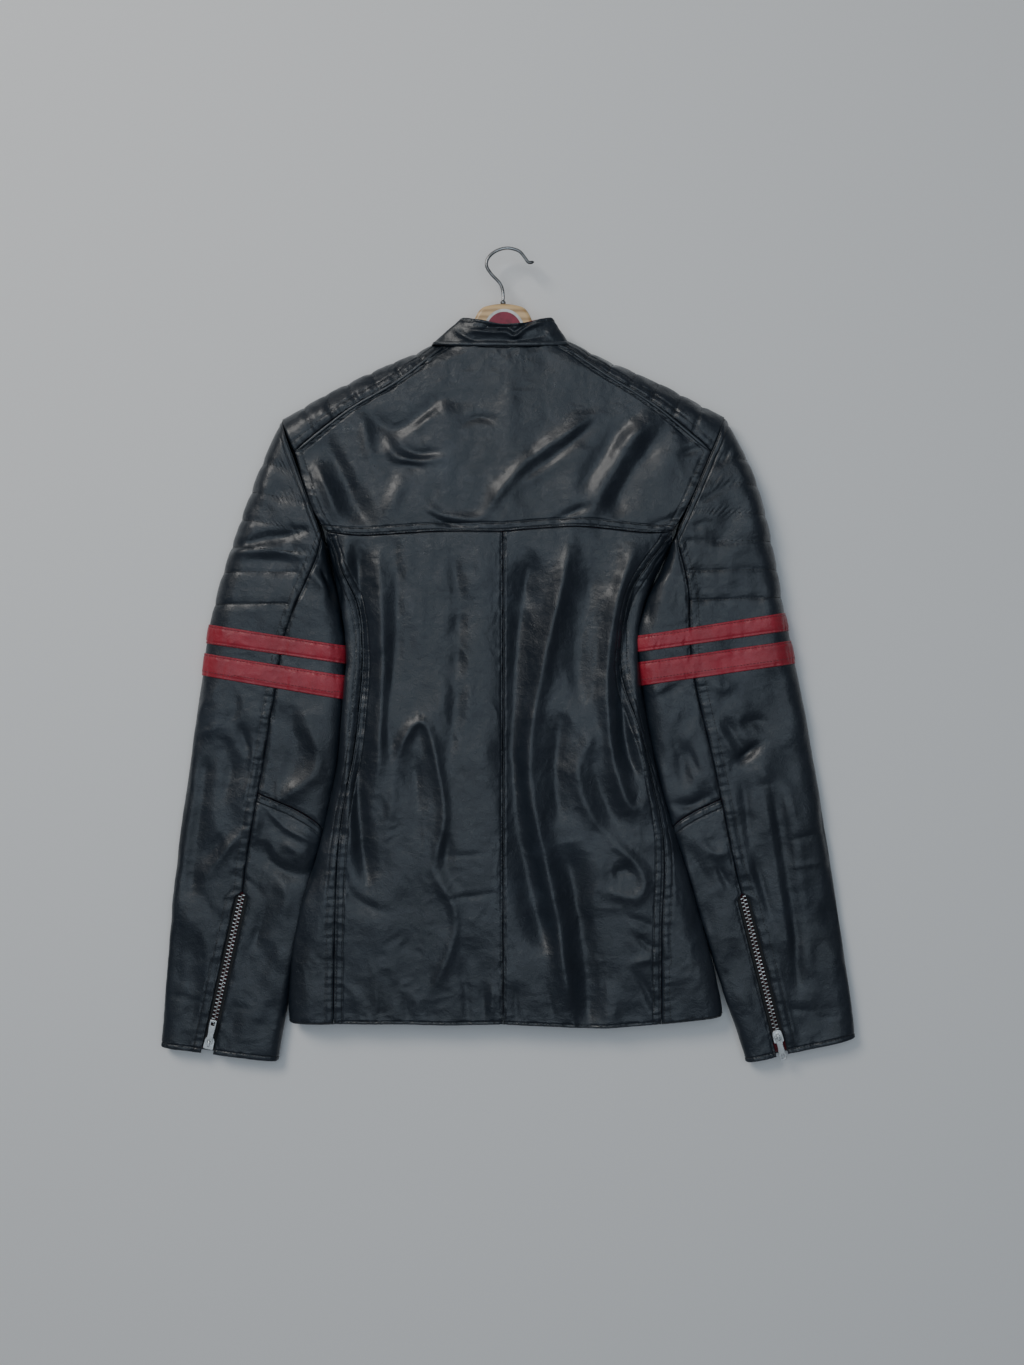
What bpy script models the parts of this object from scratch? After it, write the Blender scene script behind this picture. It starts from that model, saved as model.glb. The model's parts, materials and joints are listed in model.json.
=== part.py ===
"""A leather riding jacket lying face down on a flat surface, with its hanger inside.

The frame is +Z up, +Y towards the collar, +X to the wearer's right, so the back of the
jacket faces up. Every panel is a sheet of leather that follows one smooth outer surface:
the torso and each sleeve are flattened tubes, rounded at their edges.
"""

import math

import bmesh
import bpy
from mathutils import Matrix, Vector

MM = 0.001

# Driving dimensions, in millimetres.
LEATHER = 1.6  # thickness of an outer panel
LINING = 0.8
SEAM_GAP = 1.4  # between two panels that are sewn together
FRONT_SEAM_EASE = 1.0  # extra gap where the fronts meet the side panels
CENTRE_X = -6.0  # centre back seam and front zip
HEM_Y = -371.0
TORSO_ROUND = 26.0  # radius of the torso's rolled edges, in plan
SLEEVE_ROUND = 21.0
EDGE_Z = 14.0  # height of the torso's rolled edge
SLEEVE_EDGE_Z = 9.5
SLEEVE_FLOOR = 1.8  # the sleeve's underside, which the stripes lift off the ground
ZIP_SLOT = 7.0  # from a zip's centre line to the leather's edge
ZIP_DEPTH = 2.2  # from the leather's outer face down to the zip's middle plane
FRONT_LIFT = 8.0  # how far the front zip lifts the leather off the ground
FRONT_LIFT_SPAN = 46.0
CUFF_TOP = 19.0  # top of the forearm over the cuff zip
FRONT_ZIP_TOP = 284.0
FRONT_NECK_Y = 238.0
WIRE = 3.4  # the hanger hook's wire
WOOD = 10.0  # thickness of the hanger
WOOD_Z = 25.5
TOOTH_PITCH = 5.0
# Moves the model so that its box is centred on the origin.
BOX_SHIFT = Vector((0.5, -5.3, 0.0))

BLACK = (0.012, 0.016, 0.022, 1.0)
RED = (0.33, 0.02, 0.04, 1.0)
STEEL = (0.62, 0.62, 0.6, 1.0)
TAPE = (0.01, 0.01, 0.011, 1.0)
PINE = (0.72, 0.47, 0.22, 1.0)

# Height of the upper face over Y, for the torso and for the sleeves below the armpit.
TORSO_TOP = [(-371, 28), (-100, 32), (130, 36), (250, 40), (330, 41)]
SLEEVE_TOP = [(-420, CUFF_TOP), (-225, CUFF_TOP), (0, 27), (118, 35.7), (250, 40), (330, 41)]

SIDE = {
    "left": {
        # Sections from the armhole to the cuff: outer edge, inner edge, and where the
        # upper seam crosses them, as a share of the way from the outer edge.
        "sections": [
            ((-233, 249), (-187, 119), 0.93),
            ((-263, 180), (-180, 85), 0.80),
            ((-290, 105), (-172, 52), 0.66),
            ((-308, 38), (-167, 16), 0.56),
            ((-316, -14), (-169, -39), 0.53),
            ((-330, -110), (-178, -125), 0.50),
            ((-343, -220), (-204, -235), 0.50),
            ((-359, -397), (-239, -412), 0.41),
        ],
        "edge": [(-226, -371), (-212, -277), (-186, -189), (-172, -101), (-163, -29),
                 (-162, 17), (-168, 63), (-184, 117)],
        "back_seam": [(-179, -371), (-178, -277), (-171, -174), (-156, -101), (-148, -29),
                      (-147, 17), (-154, 63), (-183, 128)],
        "front_seam": [(-192, -371), (-182, -277), (-158, -174), (-143, -101), (-135, -29),
                       (-134, 17), (-142, 63), (-180, 124)],
        "shoulder_edge": [(-76, 327), (-98, 316), (-147, 294), (-190, 272), (-233, 249)],
        "shoulder_back": [(-69, 322), (-112, 287), (-164, 256), (-219, 213)],
        "shoulder_front": [(-80, 300), (-120, 272), (-166, 246), (-217, 208)],
        "zip": ((-274, -238), (-308, -392)),
        "pull_back": True,
    },
    "right": {
        "sections": [
            ((221, 251), (166, 119), 0.93),
            ((254, 185), (155, 90), 0.80),
            ((274, 110), (140, 62), 0.68),
            ((284, 50), (131, 26), 0.65),
            ((295, -2), (135, -25), 0.66),
            ((315, -105), (152, -125), 0.63),
            ((336, -235), (190, -250), 0.665),
            ((358, -388), (246, -413), 0.71),
        ],
        "edge": [(219, -371), (194, -277), (168, -184), (144, -120), (129, -25),
                 (126, 22), (136, 74), (163, 117)],
        "back_seam": [(156, -371), (156, -277), (156, -184), (136, -101), (114, -25),
                      (112, 22), (122, 74), (162, 128)],
        "front_seam": [(186, -371), (166, -277), (143, -184), (121, -101), (101, -25),
                       (99, 22), (109, 74), (159, 124)],
        "shoulder_edge": [(62, 327), (83, 318), (132, 296), (178, 274), (221, 251)],
        "shoulder_back": [(56, 322), (100, 291), (150, 259), (206, 215)],
        "shoulder_front": [(67, 300), (108, 272), (154, 246), (205, 210)],
        "zip": ((240, -240), (276, -385)),
        "pull_back": False,
    },
}
# The seam under the back yoke.
YOKE_LEFT = [(-186, 131), (-143, 128), (-71, 132), (CENTRE_X, 132)]
YOKE_RIGHT = [(CENTRE_X, 132), (68, 136), (135, 131), (166, 131)]
STRIPE_THICK = 1.0
STRIPE_LIFT = 1.5  # from the sleeve's outer face to the stripe's
LINING_SECTIONS = [0.8, 2.0, 3.2, 4.4, 5.3, 6.0, 6.95]
STRIPE_SPANS = {"upper": (3.0, 3.39), "lower": (3.61, 4.0)}  # in sleeve sections
ELBOW = (5.18, 5.54)  # the elbow seam at the upper seam and at the inner edge
LAST = 7.0  # index of the cuff's section


# ---------------------------------------------------------------- curves and heights

def smooth(points, t):
    """A point at index t of a Catmull-Rom curve through points of any dimension."""
    last = len(points) - 1
    i = min(int(t), last - 1)
    f = t - i
    p = [Vector(points[max(0, min(last, i + k))]) for k in (-1, 0, 1, 2)]
    a = 2 * p[1]
    b = p[2] - p[0]
    c = 2 * p[0] - 5 * p[1] + 4 * p[2] - p[3]
    d = 3 * p[1] - p[0] - 3 * p[2] + p[3]
    return 0.5 * (a + b * f + c * f * f + d * f ** 3)


class Path:
    """A smooth line through points, read at a share of its length."""

    def __init__(self, *parts):
        self.points = []
        for part in parts:
            steps = 8 * (len(part) - 1)
            new = [smooth(part, (len(part) - 1) * k / steps) for k in range(steps + 1)]
            self.points += new[1:] if self.points else new
        self.at_length = [0.0]
        for p, q in zip(self.points, self.points[1:]):
            self.at_length.append(self.at_length[-1] + (q - p).length)
        self.length = self.at_length[-1]

    def at(self, share):
        wanted = min(max(share, 0.0), 1.0) * self.length
        for k in range(1, len(self.points)):
            if wanted <= self.at_length[k] or k == len(self.points) - 1:
                step = self.at_length[k] - self.at_length[k - 1]
                f = (wanted - self.at_length[k - 1]) / max(step, 1e-9)
                return self.points[k - 1].lerp(self.points[k], f)


def table(rows, y):
    """Linear reading of (y, value) rows."""
    if y <= rows[0][0]:
        return rows[0][1]
    for (y0, v0), (y1, v1) in zip(rows, rows[1:]):
        if y <= y1:
            return v0 + (v1 - v0) * (y - y0) / (y1 - y0)
    return rows[-1][1]


def distance_to(lines, p):
    """Shortest distance in plan from p to a list of polylines."""
    best = 1e9
    for line in lines:
        for a, b in zip(line, line[1:]):
            a, b = Vector(a), Vector(b)
            f = max(0.0, min(1.0, (p - a).dot(b - a) / (b - a).length_squared))
            best = min(best, (a.lerp(b, f) - p).length)
    return best


def roll(distance, radius):
    """Share of full height at a distance from a rolled edge: a quarter circle."""
    t = min(distance / radius, 1.0)
    return math.sqrt(1 - (1 - t) ** 2)


TORSO_EDGES = [Path(SIDE[s][k]).points[::4] for s in SIDE for k in ("edge", "shoulder_edge")]


def torso_z(p, upper, inset=0.0):
    """Height of the torso's outer face at p in plan, or of a face inset inside it."""
    share = roll(max(distance_to(TORSO_EDGES, p) - inset, 0.0), TORSO_ROUND)
    if upper:
        return EDGE_Z + (table(TORSO_TOP, p.y) - inset - EDGE_Z) * share
    across = min(abs(p.x - CENTRE_X) / FRONT_LIFT_SPAN, 1.0)
    lift = FRONT_LIFT * (0.5 + 0.5 * math.cos(math.pi * across)) if not inset else FRONT_LIFT / 2
    return EDGE_Z + (lift + inset - EDGE_Z) * share


def sleeve_section(side, s, inset=0.0):
    """(outer edge, inner edge, seam share) of a sleeve at section index s."""
    rows = SIDE[side]["sections"]
    outer = smooth([r[0] for r in rows], s)
    inner = smooth([r[1] for r in rows], s)
    share = smooth([(r[2], 0) for r in rows], s).x
    across = (inner - outer).normalized()
    return outer + across * inset, inner - across * inset, share


def sleeve_point(side, s, w, inner_half, gap, drop=0.0, rise=0.0, inset=0.0):
    """A point on a sleeve's face. w runs 0 to 1 from the upper seam to the edge of that
    half, and 1 to 2 from the edge to the lower seam, which lies under the upper one."""
    outer, inner, share = sleeve_section(side, s, inset)
    width = (inner - outer).length
    edge = 1.0 if inner_half else 0.0
    seam = share + (gap / width if inner_half else -gap / width)
    if w <= 1:
        f = seam + (edge - seam) * math.sin(w * math.pi / 2)
    else:
        under = share + (SEAM_GAP / 2 / width) * (1 if inner_half else -1)
        f = edge + (under - edge) * (1 - math.cos((w - 1) * math.pi / 2))
    p = outer.lerp(inner, f)
    tall = roll(min(f, 1 - f) * width, SLEEVE_ROUND)
    top = table(SLEEVE_TOP, p.y) - drop
    middle = SLEEVE_EDGE_Z + (EDGE_Z - SLEEVE_EDGE_Z) * max(0.0, 1 - s / 2)
    target = top if w <= 1 else SLEEVE_FLOOR + rise
    return Vector((p.x, p.y, middle + (target - middle) * tall))


# ------------------------------------------------------------------- making objects

def material(name, colour, roughness, metallic=0.0):
    made = bpy.data.materials.new(name)
    made.use_nodes = True
    shader = made.node_tree.nodes["Principled BSDF"]
    shader.inputs["Base Color"].default_value = colour
    shader.inputs["Roughness"].default_value = roughness
    shader.inputs["Metallic"].default_value = metallic
    return made


def finish(name, mesh, finish_material, smooth_shade=True):
    """Makes the object and puts it in the jacket's collection."""
    if smooth_shade:
        mesh.shade_smooth()
        mesh.set_sharp_from_angle(angle=math.radians(40))
    obj = bpy.data.objects.new(name, mesh)
    mesh.materials.append(finish_material)
    JACKET.objects.link(obj)
    return obj


def sheet(name, point, us, vs, thickness, finish_material, flip=False):
    """A panel: the surface point(u, v) in millimetres, thickened away from its outer
    face. flip turns the outer face round."""
    bm = bmesh.new()
    rows = [[bm.verts.new(point(u, v) * MM) for u in us] for v in vs]
    for low, high in zip(rows, rows[1:]):
        for k in range(len(us) - 1):
            corners = [low[k], low[k + 1], high[k + 1], high[k]]
            bm.faces.new(corners[::-1] if flip else corners)
    mesh = bpy.data.meshes.new(name)
    bm.to_mesh(mesh)
    bm.free()
    obj = finish(name, mesh, finish_material)
    solid = obj.modifiers.new("Thickness", "SOLIDIFY")
    solid.thickness = thickness * MM
    solid.offset = -1
    return obj


def shares(count, start=0.0, end=1.0):
    return [start + (end - start) * k / count for k in range(count + 1)]


def patch(bottom, top, left, right):
    """A Coons patch between four paths in plan, drawn in from them by half a seam gap."""
    corner = {(0, 0): bottom.at(0), (1, 0): bottom.at(1), (0, 1): top.at(0), (1, 1): top.at(1)}

    def at(u, v):
        eu = SEAM_GAP / 2 / max((right.at(v) - left.at(v)).length, 1.0)
        ev = SEAM_GAP / 2 / max((top.at(u) - bottom.at(u)).length, 1.0)
        u = eu + u * (1 - 2 * eu)
        v = ev + v * (1 - 2 * ev)
        ruled = bottom.at(u) * (1 - v) + top.at(u) * v + left.at(v) * (1 - u) + right.at(v) * u
        return ruled - (
            corner[0, 0] * (1 - u) * (1 - v) + corner[1, 0] * u * (1 - v)
            + corner[0, 1] * (1 - u) * v + corner[1, 1] * u * v
        )

    return at


def wrap(upper, edge, lower, low_trim=0.5, high_trim=0.5):
    """A strip that rolls over a torso edge: w 0 to 1 on the upper face, 1 to 2 below."""

    def at(w, v):
        start = low_trim / edge.length
        v = start + v * (1 - start - high_trim / edge.length)
        if w <= 1:
            inward = (edge.at(v) - upper.at(v)).normalized() * (SEAM_GAP / 2)
            p = (upper.at(v) + inward).lerp(edge.at(v), math.sin(w * math.pi / 2))
            return Vector((p.x, p.y, torso_z(p, True)))
        inward = (edge.at(v) - lower.at(v)).normalized() * (SEAM_GAP / 2)
        p = edge.at(v).lerp(lower.at(v) + inward, 1 - math.cos((w - 1) * math.pi / 2))
        return Vector((p.x, p.y, torso_z(p, False)))

    return at


def raised(plan, upper, inset=0.0):
    """Gives a plan patch the torso's height."""

    def at(u, v):
        p = plan(u, v)
        return Vector((p.x, p.y, torso_z(p, upper, inset)))

    return at


# --------------------------------------------------------------------------- torso

def hem(x0, x1):
    return Path([(x0, HEM_Y), ((x0 + x1) / 2, HEM_Y), (x1, HEM_Y)])


def make_back(leather):
    left, right = SIDE["left"], SIDE["right"]
    armhole_left = [(-187, 131), (-201, 158), (-219, 213)]
    armhole_right = [(168, 131), (184, 162), (206, 215)]
    yoke = patch(
        Path(YOKE_LEFT, YOKE_RIGHT),
        Path([(-69, 322), (CENTRE_X, 320), (56, 322)]),
        Path(armhole_left, left["shoulder_back"][::-1]),
        Path(armhole_right, right["shoulder_back"][::-1]),
    )
    sheet("back_yoke", raised(yoke, True), shares(12), shares(10), LEATHER, leather)
    centre = Path([(CENTRE_X, HEM_Y), (CENTRE_X, -120), (CENTRE_X, 131)])
    for side, run in (("left", YOKE_LEFT), ("right", YOKE_RIGHT)):
        seam = Path(SIDE[side]["back_seam"])
        run = [(x, y - 0.5) for x, y in run]
        if side == "left":
            run[0] = SIDE[side]["back_seam"][-1]
            plan = patch(hem(-179, CENTRE_X), Path(run), seam, centre)
        else:
            run[-1] = SIDE[side]["back_seam"][-1]
            plan = patch(hem(CENTRE_X, 156), Path(run), centre, seam)
        sheet(f"back_panel_{side}", raised(plan, True), shares(6), shares(12), LEATHER, leather)


def make_sides(leather):
    for side, data in SIDE.items():
        strip = wrap(Path(data["back_seam"]), Path(data["edge"]), Path(data["front_seam"]), 0.5, 3)
        sheet(
            f"side_panel_{side}", strip, shares(8, 0, 2), shares(12), LEATHER, leather,
            flip=side == "left",
        )


def make_shoulders(leather):
    for side, data in SIDE.items():
        strip = wrap(
            Path(data["shoulder_back"]), Path(data["shoulder_edge"]), Path(data["shoulder_front"]),
            0.6, 1.6,
        )
        sheet(
            f"shoulder_panel_{side}", strip, shares(8, 0, 2), shares(6), LEATHER, leather,
            flip=side == "right",
        )


def front_neckline(side):
    """The front neck seam from the shoulder to the zip."""
    sign = -1 if side == "left" else 1
    start = SIDE[side]["shoulder_front"][0]
    slot = CENTRE_X + sign * ZIP_SLOT
    return [start, (CENTRE_X + sign * 52, 262), (slot, FRONT_NECK_Y)]


def make_front(leather):
    for side, data in SIDE.items():
        sign = -1 if side == "left" else 1
        slot = CENTRE_X + sign * (ZIP_SLOT - SEAM_GAP / 2)
        armhole = [(data["front_seam"][-1][0] - sign * FRONT_SEAM_EASE, data["front_seam"][-1][1]),
                   data["shoulder_front"][-1]]
        seam = [(x - sign * FRONT_SEAM_EASE, y) for x, y in data["front_seam"]]
        outer = Path(seam, armhole)
        centre = Path([(slot, HEM_Y), (slot, -60), (slot, FRONT_NECK_Y)])
        top = Path(data["shoulder_front"][::-1], front_neckline(side))
        foot = hem(data["front_seam"][0][0], slot)
        plan = patch(foot, top, outer, centre)
        sheet(
            f"front_panel_{side}", raised(plan, False), shares(7), shares(16), LEATHER, leather,
            flip=side == "left",
        )


def make_body_lining(lining):
    """A loose lining behind the back and one behind each front."""
    inset = 4.0
    back = patch(
        hem(-196, 184),
        Path([(-62, 306), (CENTRE_X, 304), (50, 306)]),
        Path([(-196, HEM_Y), (-156, -120), (-145, 0), (-152, 108)],
             [(-152, 108), (-196, 212), (-62, 304)]),
        Path([(184, HEM_Y), (138, -120), (109, 0), (136, 110)],
             [(136, 110), (183, 212), (50, 304)]),
    )
    sheet("back_lining", raised(back, True, inset), shares(8), shares(10), LINING, lining)
    for side, sign, far in (("left", -1, (-190, -146, -138, -170)), ("right", 1, (178, 130, 102, 148))):
        near = CENTRE_X + sign * 20
        outer = Path([(far[0], HEM_Y), (far[1], -120), (far[2], 0), (far[3], 112)],
                     [(far[3], 112), (far[3] + sign * 34, 205)])
        top = Path([(far[3] + sign * 34, 205), (CENTRE_X + sign * 92, 258), (near, 226)])
        inner = Path([(near, HEM_Y), (near, -60), (near, 226)])
        plan = patch(hem(far[0], near), top, outer, inner)
        sheet(
            f"front_lining_{side}", raised(plan, False, inset), shares(5), shares(8), LINING, lining,
            flip=side == "left",
        )


# -------------------------------------------------------------------------- collar

COLLAR_HALF = (63.5, 46.5)  # half its width at the neck seam and at the top edge
COLLAR_TALL = 28.0
COLLAR_LEAN = 7.0  # how far the top edge is pushed to the wearer's right
COLLAR_STOP = 173.0  # degrees round from the centre back to the front zip
COLLAR_STEPS = 24
COLLAR_PLAY = 3.4  # between the collar's leather and its facing


def collar_point(angle, share, inset=0.0):
    """A point on the collar. angle is 0 at the centre back and 180 degrees at the front;
    share is 0 at the neck seam and 1 at the top edge."""
    a = math.radians(angle)
    side, along = math.sin(a), math.cos(a)
    half = COLLAR_HALF[0] + (COLLAR_HALF[1] - COLLAR_HALF[0]) * share - inset
    lean = COLLAR_LEAN * share
    x = CENTRE_X + 0.5 + lean + half * math.copysign(abs(side) ** 0.8, side)
    level = 325 + COLLAR_TALL * share
    if along > 0:
        y = level - (4 + 3 * share) * along
    else:
        y = level + (level - (FRONT_NECK_Y + 46 * share) - inset) * along
        x -= lean * along * along
    crown = (41.5 - 1.0 * share) if along > 0 else FRONT_LIFT
    middle = 19 + 3 * share
    inward = inset if along > 0 else -inset
    z = middle + (crown - inward - middle) * math.sqrt(abs(along))
    return Vector((x, y, z))


def make_collar(leather, lining):
    columns = range(COLLAR_STEPS + 1)
    angles = [-COLLAR_STOP + 2 * COLLAR_STOP * k / COLLAR_STEPS for k in columns]

    def shell(inset):
        def at(u, v):
            p = collar_point(angles[u], 0.03 + 0.97 * v, inset)
            if u in (0, COLLAR_STEPS):
                p.x = CENTRE_X + math.copysign(ZIP_SLOT, angles[u])
            return p
        return at

    sheet("collar_outer", shell(0.0), columns, shares(2), LEATHER, leather)
    facing = shell(LEATHER + COLLAR_PLAY)
    sheet("collar_facing", facing, columns, shares(2), 1.0, lining)


# -------------------------------------------------------------------------- sleeves

def zip_section(side):
    """The section index where the slot of a cuff zip starts, just above its teeth."""
    y = SIDE[side]["zip"][0][1] + 7
    rows = SIDE[side]["sections"]
    s = 5.0
    while True:
        outer, inner, share = sleeve_section(side, s)
        if outer.lerp(inner, share).y < y:
            return s
        s += 0.01


def zip_shift(side, s):
    """How far a cuff zip's centre line lies from the sleeve's upper seam line."""
    start, end = (Vector(p) for p in SIDE[side]["zip"])
    outer, inner, share = sleeve_section(side, s)
    seam = outer.lerp(inner, share)
    across = (inner - outer).normalized()
    along = (end - start).normalized()
    on_zip = start + along * (seam - start).dot(along)
    return (on_zip - seam).dot(across)


def sleeve_panel(name, side, inner_half, starts, ends, leather, steps, has_zip=False):
    """A panel of one half of a sleeve. starts and ends are (at the upper seam, at the
    edge, at the lower seam), as section indexes."""
    top = zip_section(side)

    def index(limits, w):
        low, high = (limits[0], limits[1]) if w <= 1 else (limits[1], limits[2])
        return low + (high - low) * (w if w <= 1 else w - 1)

    def at(w, v):
        s = index(starts, w) + (index(ends, w) - index(starts, w)) * v
        gap = SEAM_GAP / 2
        if has_zip and s > top:
            shift = zip_shift(side, s)
            gap = ZIP_SLOT + (shift if inner_half else -shift)
        return sleeve_point(side, s, w, inner_half, gap)

    along = shares(steps)
    if has_zip:
        step = (top - starts[0]) / (ends[0] - starts[0])
        along = sorted([v for v in along if abs(v - step) > 0.04] + [step, step + 0.012])
    flip = (side == "left") == inner_half
    return sheet(name, at, shares(8, 0, 2), along, LEATHER, leather, flip=flip)


def tube(name, side, stations, lift, low, thickness, finish_material):
    """A band round a sleeve through the given sections, raised off its outer face by
    lift on top and at the edges, and by low underneath."""
    ring = [(False, w) for w in shares(8, 2, 0)[:-1]] + [(True, w) for w in shares(8, 0, 2)[:-1]]
    bm = bmesh.new()
    rows = []
    for s in stations:
        points = [sleeve_point(side, s, w, half, 0, -lift, -low, -lift) for half, w in ring]
        rows.append([bm.verts.new(p * MM) for p in points])
    for near, far in zip(rows, rows[1:]):
        for k in range(len(ring)):
            n = (k + 1) % len(ring)
            face = [near[k], near[n], far[n], far[k]]
            bm.faces.new(face if side == "right" else face[::-1])
    mesh = bpy.data.meshes.new(name)
    bm.to_mesh(mesh)
    bm.free()
    solid = finish(name, mesh, finish_material).modifiers.new("Thickness", "SOLIDIFY")
    solid.thickness = thickness * MM
    solid.offset = -1


def make_sleeve(side, leather, red, lining):
    mid = sum(STRIPE_SPANS["upper"] + STRIPE_SPANS["lower"]) / 4
    trim = 0.02
    elbow = (ELBOW[0], ELBOW[1], ELBOW[1] + 0.1)
    sleeve_panel(f"sleeve_outer_{side}", side, False, (trim,) * 3, (mid - 0.01,) * 3, leather, 6)
    sleeve_panel(
        f"forearm_outer_{side}", side, False, (mid + 0.01,) * 3, (LAST,) * 3, leather, 7, True,
    )
    sleeve_panel(
        f"sleeve_inner_{side}", side, True, (0.03,) * 3, tuple(e - 0.01 for e in elbow), leather, 8,
    )
    sleeve_panel(
        f"forearm_inner_{side}", side, True, tuple(e + 0.01 for e in elbow), (LAST,) * 3, leather,
        4, True,
    )
    for place, span in STRIPE_SPANS.items():
        tube(f"stripe_{place}_{side}", side, span, STRIPE_LIFT, STRIPE_LIFT, STRIPE_THICK, red)
    tube(f"sleeve_lining_{side}", side, LINING_SECTIONS, -5.6, -2.4, LINING, lining)


# ----------------------------------------------------------------------------- zips

TOOTH_GAP = 0.5  # from the centre line to the teeth
TOOTH_OUT = 3.1
TEETH_THICK = 2.6
TAPE_EDGE = 13.0
TAPE_THICK = 0.6
SLIDER_LONG = 13.0
SLIDER_HALF = 5.4
PLATE = 1.1
PLATE_CLEAR = 0.3
LOOP_THICK = 1.3
BAR_HEIGHT = 1.25  # the pull's bar above the slider's outer plate
PULL_LONG = 25.0
PULL_WIDE = 7.0
PULL_THICK = 1.4
PULL_PIVOT = TEETH_THICK / 2 + PLATE_CLEAR + PLATE + BAR_HEIGHT
CUFF_PULL_BACK = 2.0  # degrees from the chain, folded back over it
CUFF_PULL_HANG = 183.0  # degrees, hanging over the cuff's edge


def outline_solid(name, outlines, depth, matrix, finish_material):
    """A flat outline, with any holes, given a thickness. The outline is in millimetres in
    the matrix's XY plane, and the thickness is centred on it."""
    curve = bpy.data.curves.new(name, "CURVE")
    curve.dimensions = "2D"
    curve.fill_mode = "BOTH"
    curve.extrude = depth / 2
    for points in outlines:
        spline = curve.splines.new("POLY")
        spline.points.add(len(points) - 1)
        for target, (x, y) in zip(spline.points, points):
            target.co = (x, y, 0, 1)
        spline.use_cyclic_u = True
    helper = bpy.data.objects.new(name + "_outline", curve)
    bpy.context.scene.collection.objects.link(helper)
    bpy.context.view_layer.update()
    mesh = bpy.data.meshes.new_from_object(helper.evaluated_get(
        bpy.context.evaluated_depsgraph_get()))
    bpy.data.objects.remove(helper)
    bm = bmesh.new()
    bm.from_mesh(mesh)
    bmesh.ops.remove_doubles(bm, verts=bm.verts, dist=0.01)
    bmesh.ops.recalc_face_normals(bm, faces=bm.faces)
    bmesh.ops.scale(bm, vec=(MM, MM, MM), verts=bm.verts)
    bm.to_mesh(mesh)
    bm.free()
    mesh.materials.clear()
    obj = finish(name, mesh, finish_material, smooth_shade=False)
    obj.matrix_world = matrix
    return obj


def rectangle(x0, x1, y0, y1):
    return [(x0, y0), (x1, y0), (x1, y1), (x0, y1)]


def joined(target, *others):
    """Boolean union of closed meshes into the first, which removes the others."""
    for other in others:
        union = target.modifiers.new("Union", "BOOLEAN")
        union.operation = "UNION"
        union.object = other
    bpy.context.view_layer.update()
    mesh = bpy.data.meshes.new_from_object(
        target.evaluated_get(bpy.context.evaluated_depsgraph_get()))
    target.modifiers.clear()
    target.data = mesh
    for other in others:
        bpy.data.objects.remove(other)
    return target


def tooth_row(name, sign, start, end, frame, metal):
    """One row of teeth on its bead: a bar whose inner edge rises to a tip at every tooth.
    Opposite rows are half a pitch apart."""
    half, root, tip = TEETH_THICK / 2, TOOTH_GAP + 1.3, TOOTH_GAP
    stations = [(start, root)]
    y = start + (0.8 if sign > 0 else 0.8 + TOOTH_PITCH / 2)
    while y + TOOTH_PITCH < end:
        stations += [(y, root), (y + TOOTH_PITCH / 2, tip)]
        y += TOOTH_PITCH
    stations += [(y, root), (end, root)]
    bm = bmesh.new()
    rings = []
    for y, inner in stations:
        corners = [(inner, -half), (TOOTH_OUT, -half), (TOOTH_OUT, half), (inner, half)]
        rings.append([bm.verts.new(Vector((sign * x, y, z)) * MM) for x, z in corners])
    for low, high in zip(rings, rings[1:]):
        for k in range(4):
            n = (k + 1) % 4
            bm.faces.new([low[k], low[n], high[n], high[k]])
    bm.faces.new(rings[0])
    bm.faces.new(rings[-1])
    bmesh.ops.recalc_face_normals(bm, faces=bm.faces)
    mesh = bpy.data.meshes.new(name)
    bm.to_mesh(mesh)
    bm.free()
    finish(name, mesh, metal, smooth_shade=False).matrix_world = frame


def make_zip(name, frame, length, metal, tape, pull_turn):
    """A zip along +Y of its frame, with its outer side at +Z. The slider rests at the
    frame's origin and opens the zip as it moves along +Y."""
    start, end = -5.0, length
    for side, sign in (("left", -1), ("right", 1)):
        tooth_row(f"{name}_teeth_{side}", sign, start, end, frame, metal)
        strip = rectangle(sign * (TOOTH_OUT + 0.3), sign * TAPE_EDGE, start, end + 6)
        outline_solid(f"{name}_tape_{side}", [strip], TAPE_THICK, frame, tape)
    make_slider(name, frame, metal)
    make_pull(name, frame, metal, pull_turn)


def make_slider(name, frame, metal):
    inner = TEETH_THICK / 2 + PLATE_CLEAR
    outer = inner + PLATE
    lip = TAPE_THICK / 2 + 0.4
    web, edge, wall = TOOTH_GAP - 0.2, SLIDER_HALF, SLIDER_HALF - 1.0
    section = [(edge, outer), (-edge, outer), (-edge, lip), (-wall, lip), (-wall, inner),
               (-web, inner), (-web, -inner), (-wall, -inner), (-wall, -lip), (-edge, -lip),
               (-edge, -outer), (edge, -outer), (edge, -lip), (wall, -lip), (wall, -inner),
               (web, -inner), (web, inner), (wall, inner), (wall, lip), (edge, lip)]
    upright = frame @ Matrix.Rotation(math.radians(90), 4, "X")
    body = outline_solid(f"{name}_slider", [section], SLIDER_LONG, upright, metal)
    top = outer
    span, high = 2.2, BAR_HEIGHT * 2
    arch = [(-span - LOOP_THICK, top - 0.4), (-span, top - 0.4), (-span, top + high),
            (span, top + high), (span, top - 0.4), (span + LOOP_THICK, top - 0.4),
            (span + LOOP_THICK, top + high + 0.5), (span + 0.4, top + high + LOOP_THICK),
            (-span - 0.4, top + high + LOOP_THICK), (-span - LOOP_THICK, top + high + 0.5)]
    sideways = frame @ Matrix.Rotation(math.radians(90), 4, "Z") @ Matrix.Rotation(
        math.radians(90), 4, "X")
    loop = outline_solid(f"{name}_loop", [arch], 1.6, sideways, metal)
    return joined(body, loop)


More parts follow.
